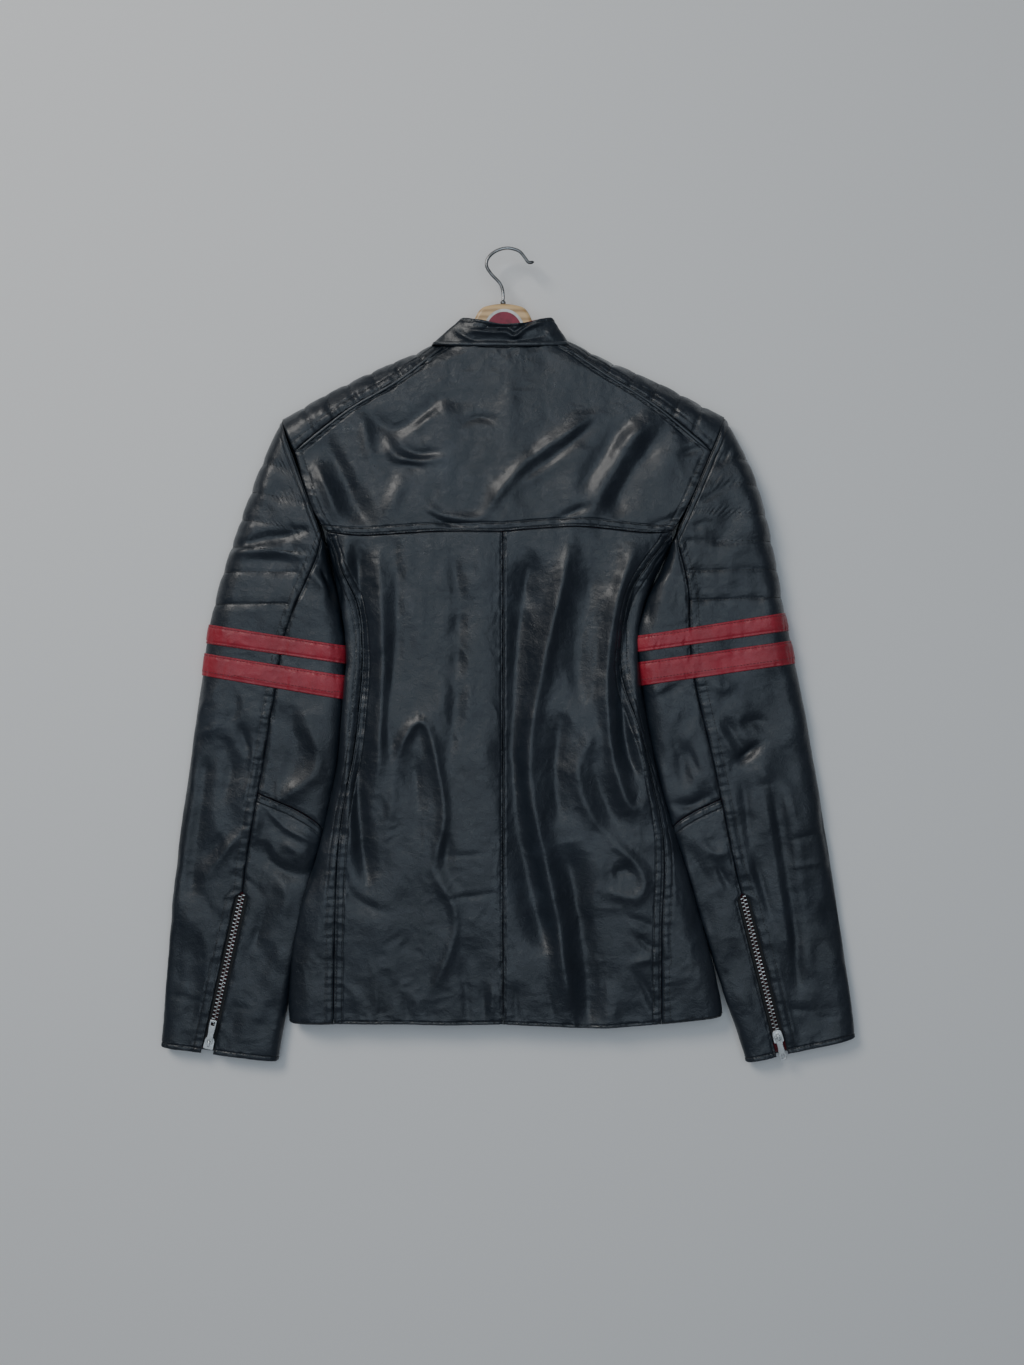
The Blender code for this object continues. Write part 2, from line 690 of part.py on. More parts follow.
def make_pull(name, frame, metal, turn):
    """A flat tab whose end bar turns inside the slider's loop. turn is its angle from the
    zip's opening direction, lifted over the outer side."""
    half = PULL_WIDE / 2
    chamfer = 1.2
    body = [(-half, -0.75), (half, -0.75), (half, PULL_LONG - chamfer),
            (half - chamfer, PULL_LONG), (chamfer - half, PULL_LONG), (-half, PULL_LONG - chamfer)]
    eye = rectangle(-1.7, 1.7, 0.75, 4.3)
    window = rectangle(-1.9, 1.9, PULL_LONG - 6.0, PULL_LONG - 1.6)
    pivot = Matrix.Translation((0, 0, PULL_PIVOT * MM))
    matrix = frame @ pivot @ Matrix.Rotation(math.radians(turn), 4, "X")
    outline_solid(f"{name}_pull", [body, eye, window], PULL_THICK, matrix, metal)


def zip_frame(origin, along, outward):
    """A matrix with +Y along the zip and +Z outward."""
    y, z = Vector(along).normalized(), Vector(outward).normalized()
    x = y.cross(z)
    matrix = Matrix((x, y, z)).transposed().to_4x4()
    matrix.translation = Vector(origin) * MM
    return matrix


def make_zips(metal, tape):
    for side, data in SIDE.items():
        start, end = (Vector(p) for p in data["zip"])
        origin = (end.x, end.y, CUFF_TOP - ZIP_DEPTH)
        frame = zip_frame(origin, (*(start - end), 0), (0, 0, 1))
        make_zip(
            f"cuff_zip_{side}", frame, (start - end).length, metal, tape,
            CUFF_PULL_BACK if data["pull_back"] else CUFF_PULL_HANG,
        )
    front = zip_frame((CENTRE_X, FRONT_ZIP_TOP - 8, FRONT_LIFT + ZIP_DEPTH), (0, -1, 0), (0, 0, -1))
    make_zip("front_zip", front, FRONT_ZIP_TOP - 8 - HEM_Y - 5, metal, tape, 0.0)


# --------------------------------------------------------------------------- hanger

def make_hanger(wood, metal, paper):
    half = [(28, 353), (32, 334), (68, 304), (98, 296), (147, 272), (196, 247), (207, 238),
            (203, 226), (190, 224), (140, 245), (95, 264), (50, 282), (20, 292)]
    crown = [(-22, 362), (-8, 365.5), (8, 365.5), (22, 362)]
    right = [(CENTRE_X + x * (0.97 if x > 60 else 1), y) for x, y in half]
    left = [(CENTRE_X - x, y) for x, y in half[::-1]]
    outline = left + [(CENTRE_X + x, y) for x, y in crown] + right
    flat = Matrix.Translation((0, 0, WOOD_Z * MM))
    body = outline_solid("hanger_body", [outline], WOOD, flat, wood)
    depth, top = 30.0, 365.5
    bpy.ops.mesh.primitive_cylinder_add(
        vertices=16, radius=(WIRE / 2 + 0.3) * MM, depth=(depth + 10) * MM,
        location=(CENTRE_X * MM, (top - depth / 2 + 5) * MM, WOOD_Z * MM),
        rotation=(math.radians(90), 0, 0),
    )
    drill = bpy.context.object
    cut = body.modifiers.new("Bore", "BOOLEAN")
    cut.operation = "DIFFERENCE"
    cut.object = drill
    bpy.context.view_layer.update()
    mesh = bpy.data.meshes.new_from_object(
        body.evaluated_get(bpy.context.evaluated_depsgraph_get()))
    body.modifiers.clear()
    body.data = mesh
    bpy.data.objects.remove(drill)
    make_hook(metal, top - depth + 0.6)
    emblem = [(CENTRE_X + 1 + 21 * math.cos(a), 336 + 23 * math.sin(a))
              for a in (2 * math.pi * k / 20 for k in range(20))]
    raised_face = Matrix.Translation((0, 0, (WOOD_Z + WOOD / 2 + 0.55) * MM))
    outline_solid("hanger_label", [emblem], 0.5, raised_face, paper)


def make_hook(metal, foot):
    """A swivelling wire hook, bent in the plane of the hanger."""
    bend = [(0, 365), (0, 376), (-3, 386), (-13, 397), (-17, 405), (-15, 413), (-6, 420),
            (5, 422.5), (16, 419.5), (22, 413), (26, 408), (32, 408.5)]
    points = [Vector((0, foot))] + [smooth(bend, k / 3) for k in range(3 * (len(bend) - 1) + 1)]
    curve = bpy.data.curves.new("hanger_hook", "CURVE")
    curve.dimensions = "3D"
    curve.bevel_depth = WIRE / 2 * MM
    curve.bevel_resolution = 2
    curve.use_fill_caps = True
    spline = curve.splines.new("POLY")
    spline.points.add(len(points) - 1)
    for target, p in zip(spline.points, points):
        target.co = (p.x * MM, p.y * MM, 0, 1)
    curve.materials.append(metal)
    hook = bpy.data.objects.new("hanger_hook", curve)
    hook.location = (CENTRE_X * MM, 0, WOOD_Z * MM)
    JACKET.objects.link(hook)


# ---------------------------------------------------------------------------- build

def build():
    leather = material("black_leather", BLACK, 0.35)
    red = material("red_leather", RED, 0.45)
    lining = material("red_lining", RED, 0.7)
    metal = material("zip_metal", STEEL, 0.25, 1.0)
    tape = material("zip_tape", TAPE, 0.9)
    wood = material("hanger_wood", PINE, 0.45)
    paper = material("label", (0.4, 0.03, 0.08, 1.0), 0.4)
    make_back(leather)
    make_sides(leather)
    make_shoulders(leather)
    make_front(leather)
    make_body_lining(lining)
    make_collar(leather, lining)
    for side in SIDE:
        make_sleeve(side, leather, red, lining)
    make_zips(metal, tape)
    make_hanger(wood, metal, paper)
    origin = bpy.data.objects.new("jacket_origin", None)
    bpy.context.scene.collection.objects.link(origin)
    for obj in JACKET.objects:
        obj.parent = origin
    origin.location = BOX_SHIFT * MM


for old in list(bpy.data.objects):
    bpy.data.objects.remove(old)
JACKET = bpy.data.collections.new("leather_riding_jacket")
bpy.context.scene.collection.children.link(JACKET)
build()
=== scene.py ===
"""The looks of a leather riding jacket lying face down, with its back up.

Lengths below are millimetres in the jacket's own drawing: +X to the wearer's right, +Y to
the collar, +Z up out of the back. Every leather panel is a fine grid that follows one
smooth outer surface, with folds, wrinkles, puckered seams and quilting raised on it.
"""

import itertools
import json
import math

import bpy
import numpy as np
from mathutils import Matrix, Vector


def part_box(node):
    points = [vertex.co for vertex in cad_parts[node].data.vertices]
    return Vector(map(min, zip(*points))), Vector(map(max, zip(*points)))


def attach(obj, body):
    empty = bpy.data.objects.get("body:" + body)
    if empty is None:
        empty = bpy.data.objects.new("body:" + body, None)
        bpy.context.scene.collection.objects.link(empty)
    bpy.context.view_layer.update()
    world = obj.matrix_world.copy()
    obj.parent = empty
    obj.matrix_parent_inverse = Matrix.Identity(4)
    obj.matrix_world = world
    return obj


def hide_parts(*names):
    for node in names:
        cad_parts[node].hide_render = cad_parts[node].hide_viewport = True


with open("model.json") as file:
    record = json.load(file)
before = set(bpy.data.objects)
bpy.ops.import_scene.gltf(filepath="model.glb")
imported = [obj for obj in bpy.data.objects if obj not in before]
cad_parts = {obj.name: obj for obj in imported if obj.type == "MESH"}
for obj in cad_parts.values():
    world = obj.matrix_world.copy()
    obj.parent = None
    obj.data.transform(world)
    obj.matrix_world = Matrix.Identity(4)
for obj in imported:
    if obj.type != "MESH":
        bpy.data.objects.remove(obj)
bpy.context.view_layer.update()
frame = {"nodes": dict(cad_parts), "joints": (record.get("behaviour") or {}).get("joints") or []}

MM = 0.001
TINY = 1e-9
UP = (0.0, 0.0, 1.0)
SIGN = {"left": -1, "right": 1}
CENTRE_X = -6.0  # centre back seam, front zip and hanger hook
HEM_Y = -371.0
YOKE_Y = 132.0
HOOK_Y = 350.0
JOINTS = {joint["name"]: joint for joint in frame["joints"]}
HOOK_AT = Vector(JOINTS["hook_swivel"]["pos_m"])
SHIFT = np.array([HOOK_AT.x / MM - CENTRE_X, HOOK_AT.y / MM - HOOK_Y, 0.0])
IN_PLACE = Matrix.Translation(Vector(SHIFT) * MM)  # from the drawing to the frame

LEATHER = 1.3
TORSO_ROUND = 26.0
SLEEVE_ROUND = 21.0
EDGE_Z = 14.0
SLEEVE_EDGE_Z = 9.5
SLEEVE_FLOOR = 2.2
FRONT_FLOOR = 1.6
MIDDLE_Z = 12.5  # everything above it faces up, and below it down
FRONT_LIFT = 8.0
FRONT_LIFT_SPAN = 46.0
CUFF_TOP = 19.0
ZIP_SLOT = 6.2  # from a zip's centre line to the leather's edge
ZIP_SUNK = 2.2  # a zip's middle below the leather's face
SEAM_GAP = 0.25
FINE = 0.75  # grid step across a seam
COARSE = 6.0  # grid step on the unseen front
ALONG = 1.9  # grid step along a seam
QUILTED_STEP = 1.0

# The leather's relief, in millimetres.
FOLD_REACH = 3  # half widths of a fold that it acts over
FOLD_SHARPNESS = 1.7
SEAM_DROP = 0.85
PUCKER = 0.68
STITCH_GROOVE = 0.75
LOWEST = 0.4  # of leather over the floor, which leaves room for its stitches

STITCH_LONG = 2.5
STITCH_PITCH = 3.4
STITCH_RADIUS = 0.32

BAND = 3.8  # sleeve section where outer sleeve meets outer forearm, under the lower stripe
STRIPE_WIDE = 20.5
STRIPE_ROW = 2.4  # from a stripe's edge to its stitches
STRIPE_THICK = 0.9

LINING_HEM_Y = HEM_Y + 9
LINING_INSET = 5.0
LINING_BACK_Z = 17.5
LINING_LOWEST = 2.4
LINING_THICK = 0.6

FLOOR_Z = -0.0004  # metres, like the next
FLOOR_HALF = 3.0

# Large odd numbers that scatter the cells of the value noise.
SCATTER = (374761393, 668265263, 1440662683)
STIR = 1274126177
WORD = 0xFFFFFFFF

TORSO_TOP = [(-371, 28), (-100, 32), (130, 36), (250, 40), (330, 41)]
SLEEVE_TOP = [(-420, CUFF_TOP), (-225, CUFF_TOP), (0, 27), (118, 35.7), (250, 40), (330, 41)]

SIDE = {
    "left": {
        # Outer edge, inner edge, and the upper seam's share of the way between them.
        "sections": [
            ((-233, 249), (-187, 119), 0.93),
            ((-263, 180), (-180, 85), 0.80),
            ((-290, 105), (-172, 52), 0.66),
            ((-308, 38), (-168, 16), 0.56),
            ((-316, -14), (-170, -39), 0.53),
            ((-330, -110), (-179, -125), 0.50),
            ((-344, -220), (-205, -235), 0.50),
            ((-359, -397), (-239, -412), 0.41),
        ],
        "edge": [(-226, -371), (-227, -345), (-221, -290), (-210, -240), (-195, -189),
                 (-184, -140), (-176, -101), (-169, -29), (-168, 17), (-175, 63), (-187, 117)],
        "back_seam": [(-179, -371), (-178, -277), (-173, -174), (-160, -101), (-153, -29),
                      (-152, 17), (-158, 63), (-185, 131)],
        "front_seam": [(-192, -371), (-182, -277), (-158, -174), (-143, -101), (-135, -29),
                       (-134, 17), (-142, 63), (-180, 124)],
        "shoulder_edge": [(-70, 329), (-98, 316), (-147, 294), (-190, 272), (-233, 249)],
        "shoulder_back": [(-64, 324), (-112, 286), (-164, 255), (-218, 213)],
        "shoulder_front": [(-80, 300), (-120, 272), (-166, 246), (-217, 208)],
        "armhole": [(-185, 131), (-201, 158), (-218, 213)],
        "zip": ((-274, -238), (-308, -392)),
    },
    "right": {
        "sections": [
            ((221, 251), (166, 119), 0.93),
            ((254, 185), (155, 90), 0.80),
            ((274, 110), (139, 62), 0.68),
            ((284, 50), (131, 26), 0.65),
            ((295, -2), (135, -25), 0.66),
            ((315, -105), (153, -125), 0.63),
            ((336, -235), (191, -250), 0.665),
            ((358, -388), (246, -413), 0.71),
        ],
        "edge": [(219, -364), (216, -340), (201, -277), (178, -200), (156, -125), (136, -25),
                 (132, 22), (146, 74), (166, 117)],
        "back_seam": [(156, -371), (156, -277), (158, -184), (142, -101), (119, -25),
                      (117, 22), (127, 74), (166, 131)],
        "front_seam": [(186, -371), (166, -277), (143, -184), (121, -101), (101, -25),
                       (99, 22), (109, 74), (159, 124)],
        "shoulder_edge": [(59, 329), (83, 318), (132, 296), (178, 274), (221, 251)],
        "shoulder_back": [(52, 324), (100, 291), (150, 259), (206, 213)],
        "shoulder_front": [(67, 300), (108, 272), (154, 246), (205, 210)],
        "armhole": [(166, 131), (184, 162), (206, 213)],
        "zip": ((240, -240), (276, -385)),
    },
}
YOKE_LEFT = [(-185, 131), (-143, 128), (-71, 132), (CENTRE_X, YOKE_Y)]
YOKE_RIGHT = [(CENTRE_X, YOKE_Y), (68, 137), (135, 131), (166, 131)]
STRIPES = {"upper": (3.0, 3.39), "lower": (3.61, 4.0)}  # in sleeve sections
ELBOW = {"left": (5.18, 5.54), "right": (5.2, 5.44)}
QUILTS = {
    "left": [[(-262, 204), (-214, 194)], [(-272, 175), (-200, 160)], [(-279, 146), (-206, 133)],
             [(-290, 118), (-212, 111)], [(-300, 91), (-218, 91)], [(-311, 58), (-227, 59)]],
    "right": [[(257, 206), (206, 208)], [(258, 179), (197, 184)], [(270, 149), (188, 153)],
              [(278, 123), (178, 122)], [(285, 94), (178, 92)], [(291, 66), (182, 62)]],
}

# Folds of the leather as it lies: height, half width, and the few points that each passes.
FOLDS = [
    # the yoke
    (6, 13, [(155, 250), (125, 225), (100, 180), (80, 145)]),
    (-3, 9, [(130, 255), (100, 215), (70, 170)]),
    (-6, 13, [(155, 235), (120, 185), (100, 140)]),
    (3.5, 7, [(90, 250), (50, 225), (10, 195), (-25, 150)]),
    (-3, 6, [(90, 245), (45, 205), (20, 190)]),
    (2, 6, [(70, 220), (5, 170)]),
    (-2.2, 5, [(-50, 240), (-30, 247), (-10, 242)]),
    (2.5, 6, [(-70, 255), (-100, 230)]),
    (3, 5, [(-125, 230), (-115, 208), (-90, 203), (-60, 207)]),
    (-2.5, 5, [(-115, 225), (-95, 210), (-70, 213)]),
    (-2, 4, [(-112, 200), (-87, 197)]),
    (-3, 9, [(-150, 260), (-120, 235), (-90, 248), (-70, 265), (-50, 262)]),
    (2, 8, [(-100, 195), (-115, 165), (-130, 140)]),
    (-3, 4, [(-85, 150), (-60, 140), (-30, 137)]),
    (2, 5, [(-90, 163), (-65, 146), (-30, 146), (-15, 160)]),
    (-3, 5, [(45, 142), (85, 160)]),
    (4, 7, [(-195, 200), (-170, 140)]),
    (-5, 11, [(-190, 230), (-165, 180), (-145, 135)]),
    (1.8, 6, [(-150, 250), (-135, 185)]),
    (-2.2, 5, [(135, 135), (185, 150)]),
    (-1.5, 5, [(165, 245), (185, 220)]),
    (-1.5, 4, [(170, 208), (195, 217)]),
    # the back, left of its centre seam
    (4, 7, [(-166, 120), (-168, 70), (-163, -25), (-165, -80), (-160, -200)]),
    (-7, 10, [(-155, 125), (-149, -30), (-155, -130), (-145, -230)]),
    (4, 8, [(-133, 120), (-128, 0), (-134, -130)]),
    (-2, 7, [(-115, 110), (-114, 25), (-124, -65), (-118, -105)]),
    (-3, 9, [(-60, 115), (-51, 50), (-60, -105)]),
    (3.5, 6, [(-116, -105), (-100, -68), (-84, -66), (-72, -110), (-66, -160), (-77, -215)]),
    (2.5, 6, [(-77, -215), (-57, -250), (-57, -287), (-80, -340)]),
    (-3, 9, [(-98, -90), (-90, -165)]),
    (-3, 8, [(-62, -173), (-64, -210), (-50, -230)]),
    (1.5, 7, [(-116, -105), (-123, -185)]),
    (-2.6, 7, [(-170, -200), (-160, -240), (-120, -260)]),
    (-1.2, 3, [(-70, -244), (-10, -236)]),
    (-0.8, 3, [(-70, -200), (-20, -196)]),
    (-1.2, 4, [(-131, -330), (-131, -367)]),
    (-1.2, 4, [(-105, -334), (-104, -371)]),
    (-1.5, 5, [(-47, -300), (-41, -371)]),
    (-1.5, 4, [(-27, -330), (-25, -367)]),
    (1.5, 4, [(-17, -327), (-18, -367)]),
    # the back, right of its centre seam
    (-9, 15, [(26, 115), (10, 30), (4, -100), (15, -200), (40, -300)]),
    (7, 10, [(63, 120), (47, 50), (27, -40), (20, -120), (37, -205), (50, -270), (63, -357)]),
    (-4.5, 13, [(90, 105), (75, 30), (70, -45)]),
    (-5, 10, [(55, -50), (47, -110), (53, -170)]),
    (-8, 13, [(58, -185), (76, -290), (82, -377)]),
    (4, 9, [(93, -66), (71, -105), (77, -143), (99, -178)]),
    (-3, 8, [(88, -106), (97, -140), (114, -173)]),
    (3, 7, [(100, -178), (136, -216), (130, -240), (93, -233)]),
    (-2.5, 7, [(104, -215), (127, -213)]),
    (5, 8, [(129, 120), (110, 62), (100, -15), (105, -92), (122, -147), (142, -143)]),
    (-6, 8, [(135, 95), (117, 0), (118, -75), (132, -123)]),
    (4, 6, [(144, 85), (128, 0), (131, -72), (144, -133)]),
    (-1.8, 4, [(120, -260), (152, -272)]),
    (-1.8, 4, [(127, -280), (150, -295)]),
    (1.6, 4, [(124, -309), (152, -300)]),
    (-2.2, 4, [(127, -317), (140, -334), (150, -361)]),
    (-1.5, 4, [(6, -327), (8, -371)]),
    (-1.5, 4, [(37, -320), (47, -371)]),
    # the left sleeve, down to the elbow
    (-4, 5, [(-284, 115), (-245, 124), (-204, 133)]),
    (3, 5, [(-288, 110), (-245, 114), (-204, 105)]),
    (-2.5, 8, [(-280, 98), (-245, 102), (-213, 97)]),
    (1.5, 6, [(-258, 137), (-213, 135)]),
    (-5, 6, [(-197, 102), (-180, 80), (-172, 55)]),
    (2, 6, [(-203, 96), (-180, 66)]),
    (1.4, 4, [(-296, -19), (-316, -52), (-322, -73)]),
    (-1.6, 4, [(-282, -26), (-279, -50), (-292, -66)]),
    (2, 8, [(-200, -52), (-212, -61), (-209, -79)]),
    (1.2, 4, [(-231, 202), (-222, 210)]),
    (-1.3, 5, [(-245, 180), (-227, 173), (-204, 175)]),
    (-1.8, 4, [(-299, -74), (-290, -86), (-297, -96)]),
    (1.6, 4, [(-320, -70), (-307, -71), (-292, -59)]),
    # the left forearm
    (2.5, 6, [(-320, -70), (-326, -142), (-338, -224), (-353, -343)]),
    (-2.5, 8, [(-310, -90), (-320, -176), (-328, -249)]),
    (2, 4, [(-263, -83), (-262, -113), (-270, -144)]),
    (-2, 5, [(-277, -62), (-265, -98)]),
    (-2.2, 7, [(-290, -93), (-285, -113), (-299, -156)]),
    (2.6, 6, [(-262, -164), (-292, -195), (-315, -226)]),
    (-2.5, 7, [(-290, -176), (-318, -210)]),
    (-2.4, 4, [(-286, -217), (-253, -239)]),
    (3, 7, [(-212, -49), (-196, -93), (-205, -120), (-243, -147)]),
    (-3, 12, [(-224, -54), (-219, -95), (-239, -127)]),
    (2, 4, [(-253, -145), (-230, -170), (-200, -186), (-194, -195)]),
    (-4, 8, [(-253, -176), (-245, -205), (-214, -220), (-198, -211)]),
    (2.4, 6, [(-234, -186), (-217, -195), (-224, -205)]),
    (2, 6, [(-234, -224), (-228, -241), (-234, -261)]),
    (-2, 7, [(-248, -249), (-265, -302)]),
    (1.6, 5, [(-200, -227), (-224, -297), (-243, -397)]),
    (-0.8, 3, [(-355, -341), (-319, -349)]),
    (-0.8, 3, [(-288, -353), (-263, -358)]),
    # the right sleeve, down to the elbow
    (-1.6, 4, [(197, 197), (218, 205), (230, 226)]),
    (1.4, 4, [(192, 171), (230, 188)]),
    (-1.8, 4, [(189, 159), (225, 180)]),
    (-2, 6, [(179, 134), (209, 144)]),
    (-2.5, 9, [(225, 176), (222, 135), (204, 117)]),
    (-1.4, 5, [(252, 82), (256, 46)]),
    (1.6, 5, [(144, -41), (151, -30), (169, -27)]),
    (-2, 5, [(149, -37), (180, -23)]),
    (2, 7, [(207, -19), (220, -28), (232, -19)]),
    (-1.6, 6, [(268, -8), (279, -61)]),
    (-1.6, 5, [(138, 73), (144, 33)]),
    # the right forearm
    (-5, 5, [(232, -105), (259, -82)]),
    (-3, 6, [(237, -68), (255, -60), (270, -74)]),
    (-2, 5, [(217, -54), (243, -94)]),
    (2.2, 5, [(211, -64), (233, -100)]),
    (2, 7, [(253, -104), (267, -123)]),
    (-5, 8, [(270, -128), (283, -195), (295, -286), (298, -338)]),
    (2.6, 7, [(262, -126), (278, -227), (290, -311)]),
    (2.2, 8, [(282, -126), (294, -212), (306, -335)]),
    (-3, 6, [(240, -121), (248, -192)]),
    (-2.5, 5, [(251, -200), (272, -274)]),
    (1.8, 5, [(243, -202), (258, -251)]),
    (-1.3, 3, [(287, -187), (300, -180), (322, -178)]),
    (1.2, 3, [(290, -210), (329, -206)]),
    (-3, 8, [(173, -77), (182, -134)]),
    (-1.6, 4, [(184, -90), (196, -119)]),
    (-3, 5, [(165, -145), (186, -148), (207, -135)]),
    (-3, 8, [(182, -185), (201, -222), (204, -239)]),
    (-2.5, 5, [(210, -202), (229, -237)]),
    (1.8, 5, [(198, -187), (211, -197), (230, -196)]),
    (1.6, 4, [(149, -86), (167, -158)]),
    (1.6, 4, [(178, -187), (203, -275), (233, -372)]),
    (-2, 6, [(322, -138), (334, -212)]),
    (-2, 8, [(319, -251), (341, -269)]),
    (-1, 3, [(282, -357), (312, -360)]),
]


# ------------------------------------------------------------------ numbers and curves

def curve(points, per_span=8):
    """A Catmull-Rom line through points, as an array of points."""
    p = np.array([points[0], *points, points[-1]], float)
    t = np.linspace(0, 1, per_span, endpoint=False)[:, None]
    parts = []
    for a, b, c, d in zip(p, p[1:], p[2:], p[3:]):
        parts.append(0.5 * (2 * b + (c - a) * t + (2 * a - 5 * b + 4 * c - d) * t ** 2
                            + (3 * b - a - 3 * c + d) * t ** 3))
    return np.vstack([*parts, p[-1:]])


def chain(*lines):
    """Several lines end to end, with corners kept where they meet."""
    return np.vstack([curve(lines[0])] + [curve(line)[1:] for line in lines[1:]])


def lengths(line):
    """The distance along a line to each of its points."""
    return np.concatenate([[0], np.cumsum(np.linalg.norm(np.diff(line, axis=0), axis=1))])


def long(line):
    return float(lengths(line)[-1])


def at(line, share, values=None):
    """Points at shares of a line's length, or other values that its points have there."""
    length = lengths(line)
    wanted = np.asarray(share) * length[-1]
    columns = (line if values is None else values).T
    return np.stack([np.interp(wanted, length, column) for column in columns], -1)


def unit(vectors):
    return vectors / np.maximum(np.linalg.norm(vectors, axis=-1, keepdims=True), TINY)


def nearest(points, line):
    """Distance in plan from each point to a line, and the share along it."""
    shape = points.shape[:-1]
    flat = points[..., :2].reshape(-1, 2)
    best = np.full(len(flat), np.inf)
    share = np.zeros(len(flat))
    reached = lengths(line)
    for k, (a, b) in enumerate(zip(line, line[1:])):
        along = b - a
        f = np.clip((flat - a) @ along / max(along @ along, TINY), 0, 1)
        gap = np.linalg.norm(flat - a - f[:, None] * along, axis=1)
        closer = gap < best
        best[closer] = gap[closer]
        span = reached[k + 1] - reached[k]
        share[closer] = (reached[k] + f[closer] * span) / reached[-1]
    return best.reshape(shape), share.reshape(shape)


def ease(low, high, value):
    t = np.clip((value - low) / (high - low), 0, 1)
    return t * t * (3 - 2 * t)


def noise(x, y, z=0.0):
    """Smooth noise between -1 and 1, one cell per unit."""
    x, y, z = np.broadcast_arrays(np.asarray(x, float), y, z)
    cell = [np.floor(v).astype(np.int64) for v in (x, y, z)]
    soft = [ease(0, 1, v - c) for v, c in zip((x, y, z), cell)]
    total = np.zeros(x.shape)
    for corner in itertools.product((0, 1), repeat=3):
        h = sum((c + i) * factor for c, i, factor in zip(cell, corner, SCATTER)) & WORD
        h = ((h ^ (h >> 13)) * STIR) & WORD
        value = ((h ^ (h >> 16)) & 0xFFFF) / 32767.5 - 1
        total += math.prod(s if i else 1 - s for s, i in zip(soft, corner)) * value
    return total


def creases(x, y, z=0.0):
    """Noise with sharp lines where it changes sign, mean near zero."""
    return 0.4 - np.abs(noise(x, y, z))


def groove(gap, middle, half):
    """1 along a line at a given distance, falling away on both sides."""
    return np.exp(-((gap - middle) / half) ** 2)


def turned_down(gap, reach):
    """1 at an edge, falling to 0 at a distance from it."""
    return np.clip(1 - gap / reach, 0, 1) ** 2


def spread(length, zones, near=10.0, coarse=ALONG):
    """Shares of a length, close together within near of each zone."""
    places = [0.0]
    while places[-1] < length:
        gap = min((abs(places[-1] - zone) for zone in zones), default=length)
        places.append(places[-1] + min(coarse, FINE + max(0.0, gap - near) * 0.25))
    return np.array(places) / places[-1]


# ------------------------------------------------------------------------- surfaces

def roll(distance, radius):
    """The height of a rolled edge, from 0 at the edge to 1 a radius in from it."""
    t = np.clip(distance / radius, 0, 1)
    return np.sqrt(1 - (1 - t) ** 2)


def by_y(rows, y):
    return np.interp(y, *np.transpose(rows))


TORSO_EDGES = [curve(SIDE[s][k], 4) for s in SIDE for k in ("edge", "shoulder_edge")]


def torso(plan, upper, inset=0.0):
    """Puts plan points on the torso's outer surface, or on one inset inside it."""
    gap = np.min([nearest(plan, line)[0] for line in TORSO_EDGES], axis=0)
    share = roll(np.maximum(gap - inset, 0), TORSO_ROUND)
    across = np.clip(np.abs(plan[..., 0] - CENTRE_X) / FRONT_LIFT_SPAN, 0, 1)
    if upper:
        level = by_y(TORSO_TOP, plan[..., 1]) - inset
    elif inset:
        level = np.full_like(across, FRONT_LIFT / 2 + inset)
    else:
        level = FRONT_FLOOR + (FRONT_LIFT - FRONT_FLOOR) * (0.5 + 0.5 * np.cos(np.pi * across))
    return np.concatenate([plan, (EDGE_Z + (level - EDGE_Z) * share)[..., None]], -1)


def coons(bottom, top, left, right, u, v):
    """A patch in plan between four lines, drawn in from them by half a seam gap."""
    u, v = np.meshgrid(u, v)
    eu = SEAM_GAP / 2 / np.maximum(np.linalg.norm(at(right, v) - at(left, v), axis=-1), 1)
    ev = SEAM_GAP / 2 / np.maximum(np.linalg.norm(at(top, u) - at(bottom, u), axis=-1), 1)
    u, v = eu + u * (1 - 2 * eu), ev + v * (1 - 2 * ev)
    a, b = u[..., None], v[..., None]
    ruled = at(bottom, u) * (1 - b) + at(top, u) * b + at(left, v) * (1 - a) + at(right, v) * a
    return ruled - (bottom[0] * (1 - a) * (1 - b) + bottom[-1] * a * (1 - b)
                    + top[0] * (1 - a) * b + top[-1] * a * b)


def section(side, s):
    """Outer edges, inner edges and seam shares of a sleeve at section indexes s."""
    outer, inner, share = zip(*SIDE[side]["sections"])
    place = np.clip(np.asarray(s, float) / (len(outer) - 1), 0, 1)

    def read(values):
        line = curve(values, 16)
        index = place * (len(line) - 1)
        return np.stack([np.interp(index, range(len(line)), column) for column in line.T], -1)

    return read(outer), read(inner), read([(value,) for value in share])


def sleeve(side, s, w, inner_half, gap=0.0, lift=0.0, low=None):
    """Points on a sleeve. w runs 0 to 1 from the upper seam to that half's edge, and on to
    2 at the lower seam. lift moves the surface out, and low does so underneath."""
    outer, inner, share = section(side, s)
    share = share[..., 0]
    across = inner - outer
    width = np.linalg.norm(across, axis=-1)
    out = across / width[..., None] * lift
    outer, inner, width = outer - out, inner + out, width + 2 * lift
    edge = 1.0 if inner_half else 0.0
    start = share + gap / width
    under = share + (SEAM_GAP / 2 / width) * (1 if inner_half else -1)
    upper = w <= 1
    f = np.where(upper, start + (edge - start) * np.sin(np.clip(w, 0, 1) * np.pi / 2),
                 edge + (under - edge) * (1 - np.cos((np.clip(w, 1, 2) - 1) * np.pi / 2)))
    plan = outer + (inner - outer) * f[..., None]
    tall = roll(np.minimum(f, 1 - f) * width, SLEEVE_ROUND + lift)
    middle = SLEEVE_EDGE_Z + (EDGE_Z - SLEEVE_EDGE_Z) * np.clip(1 - s / 2, 0, 1)
    floor = SLEEVE_FLOOR - (lift if low is None else low)
    level = np.where(upper, by_y(SLEEVE_TOP, plan[..., 1]) + lift, floor)
    return np.concatenate([plan, (middle + (level - middle) * tall)[..., None]], -1)


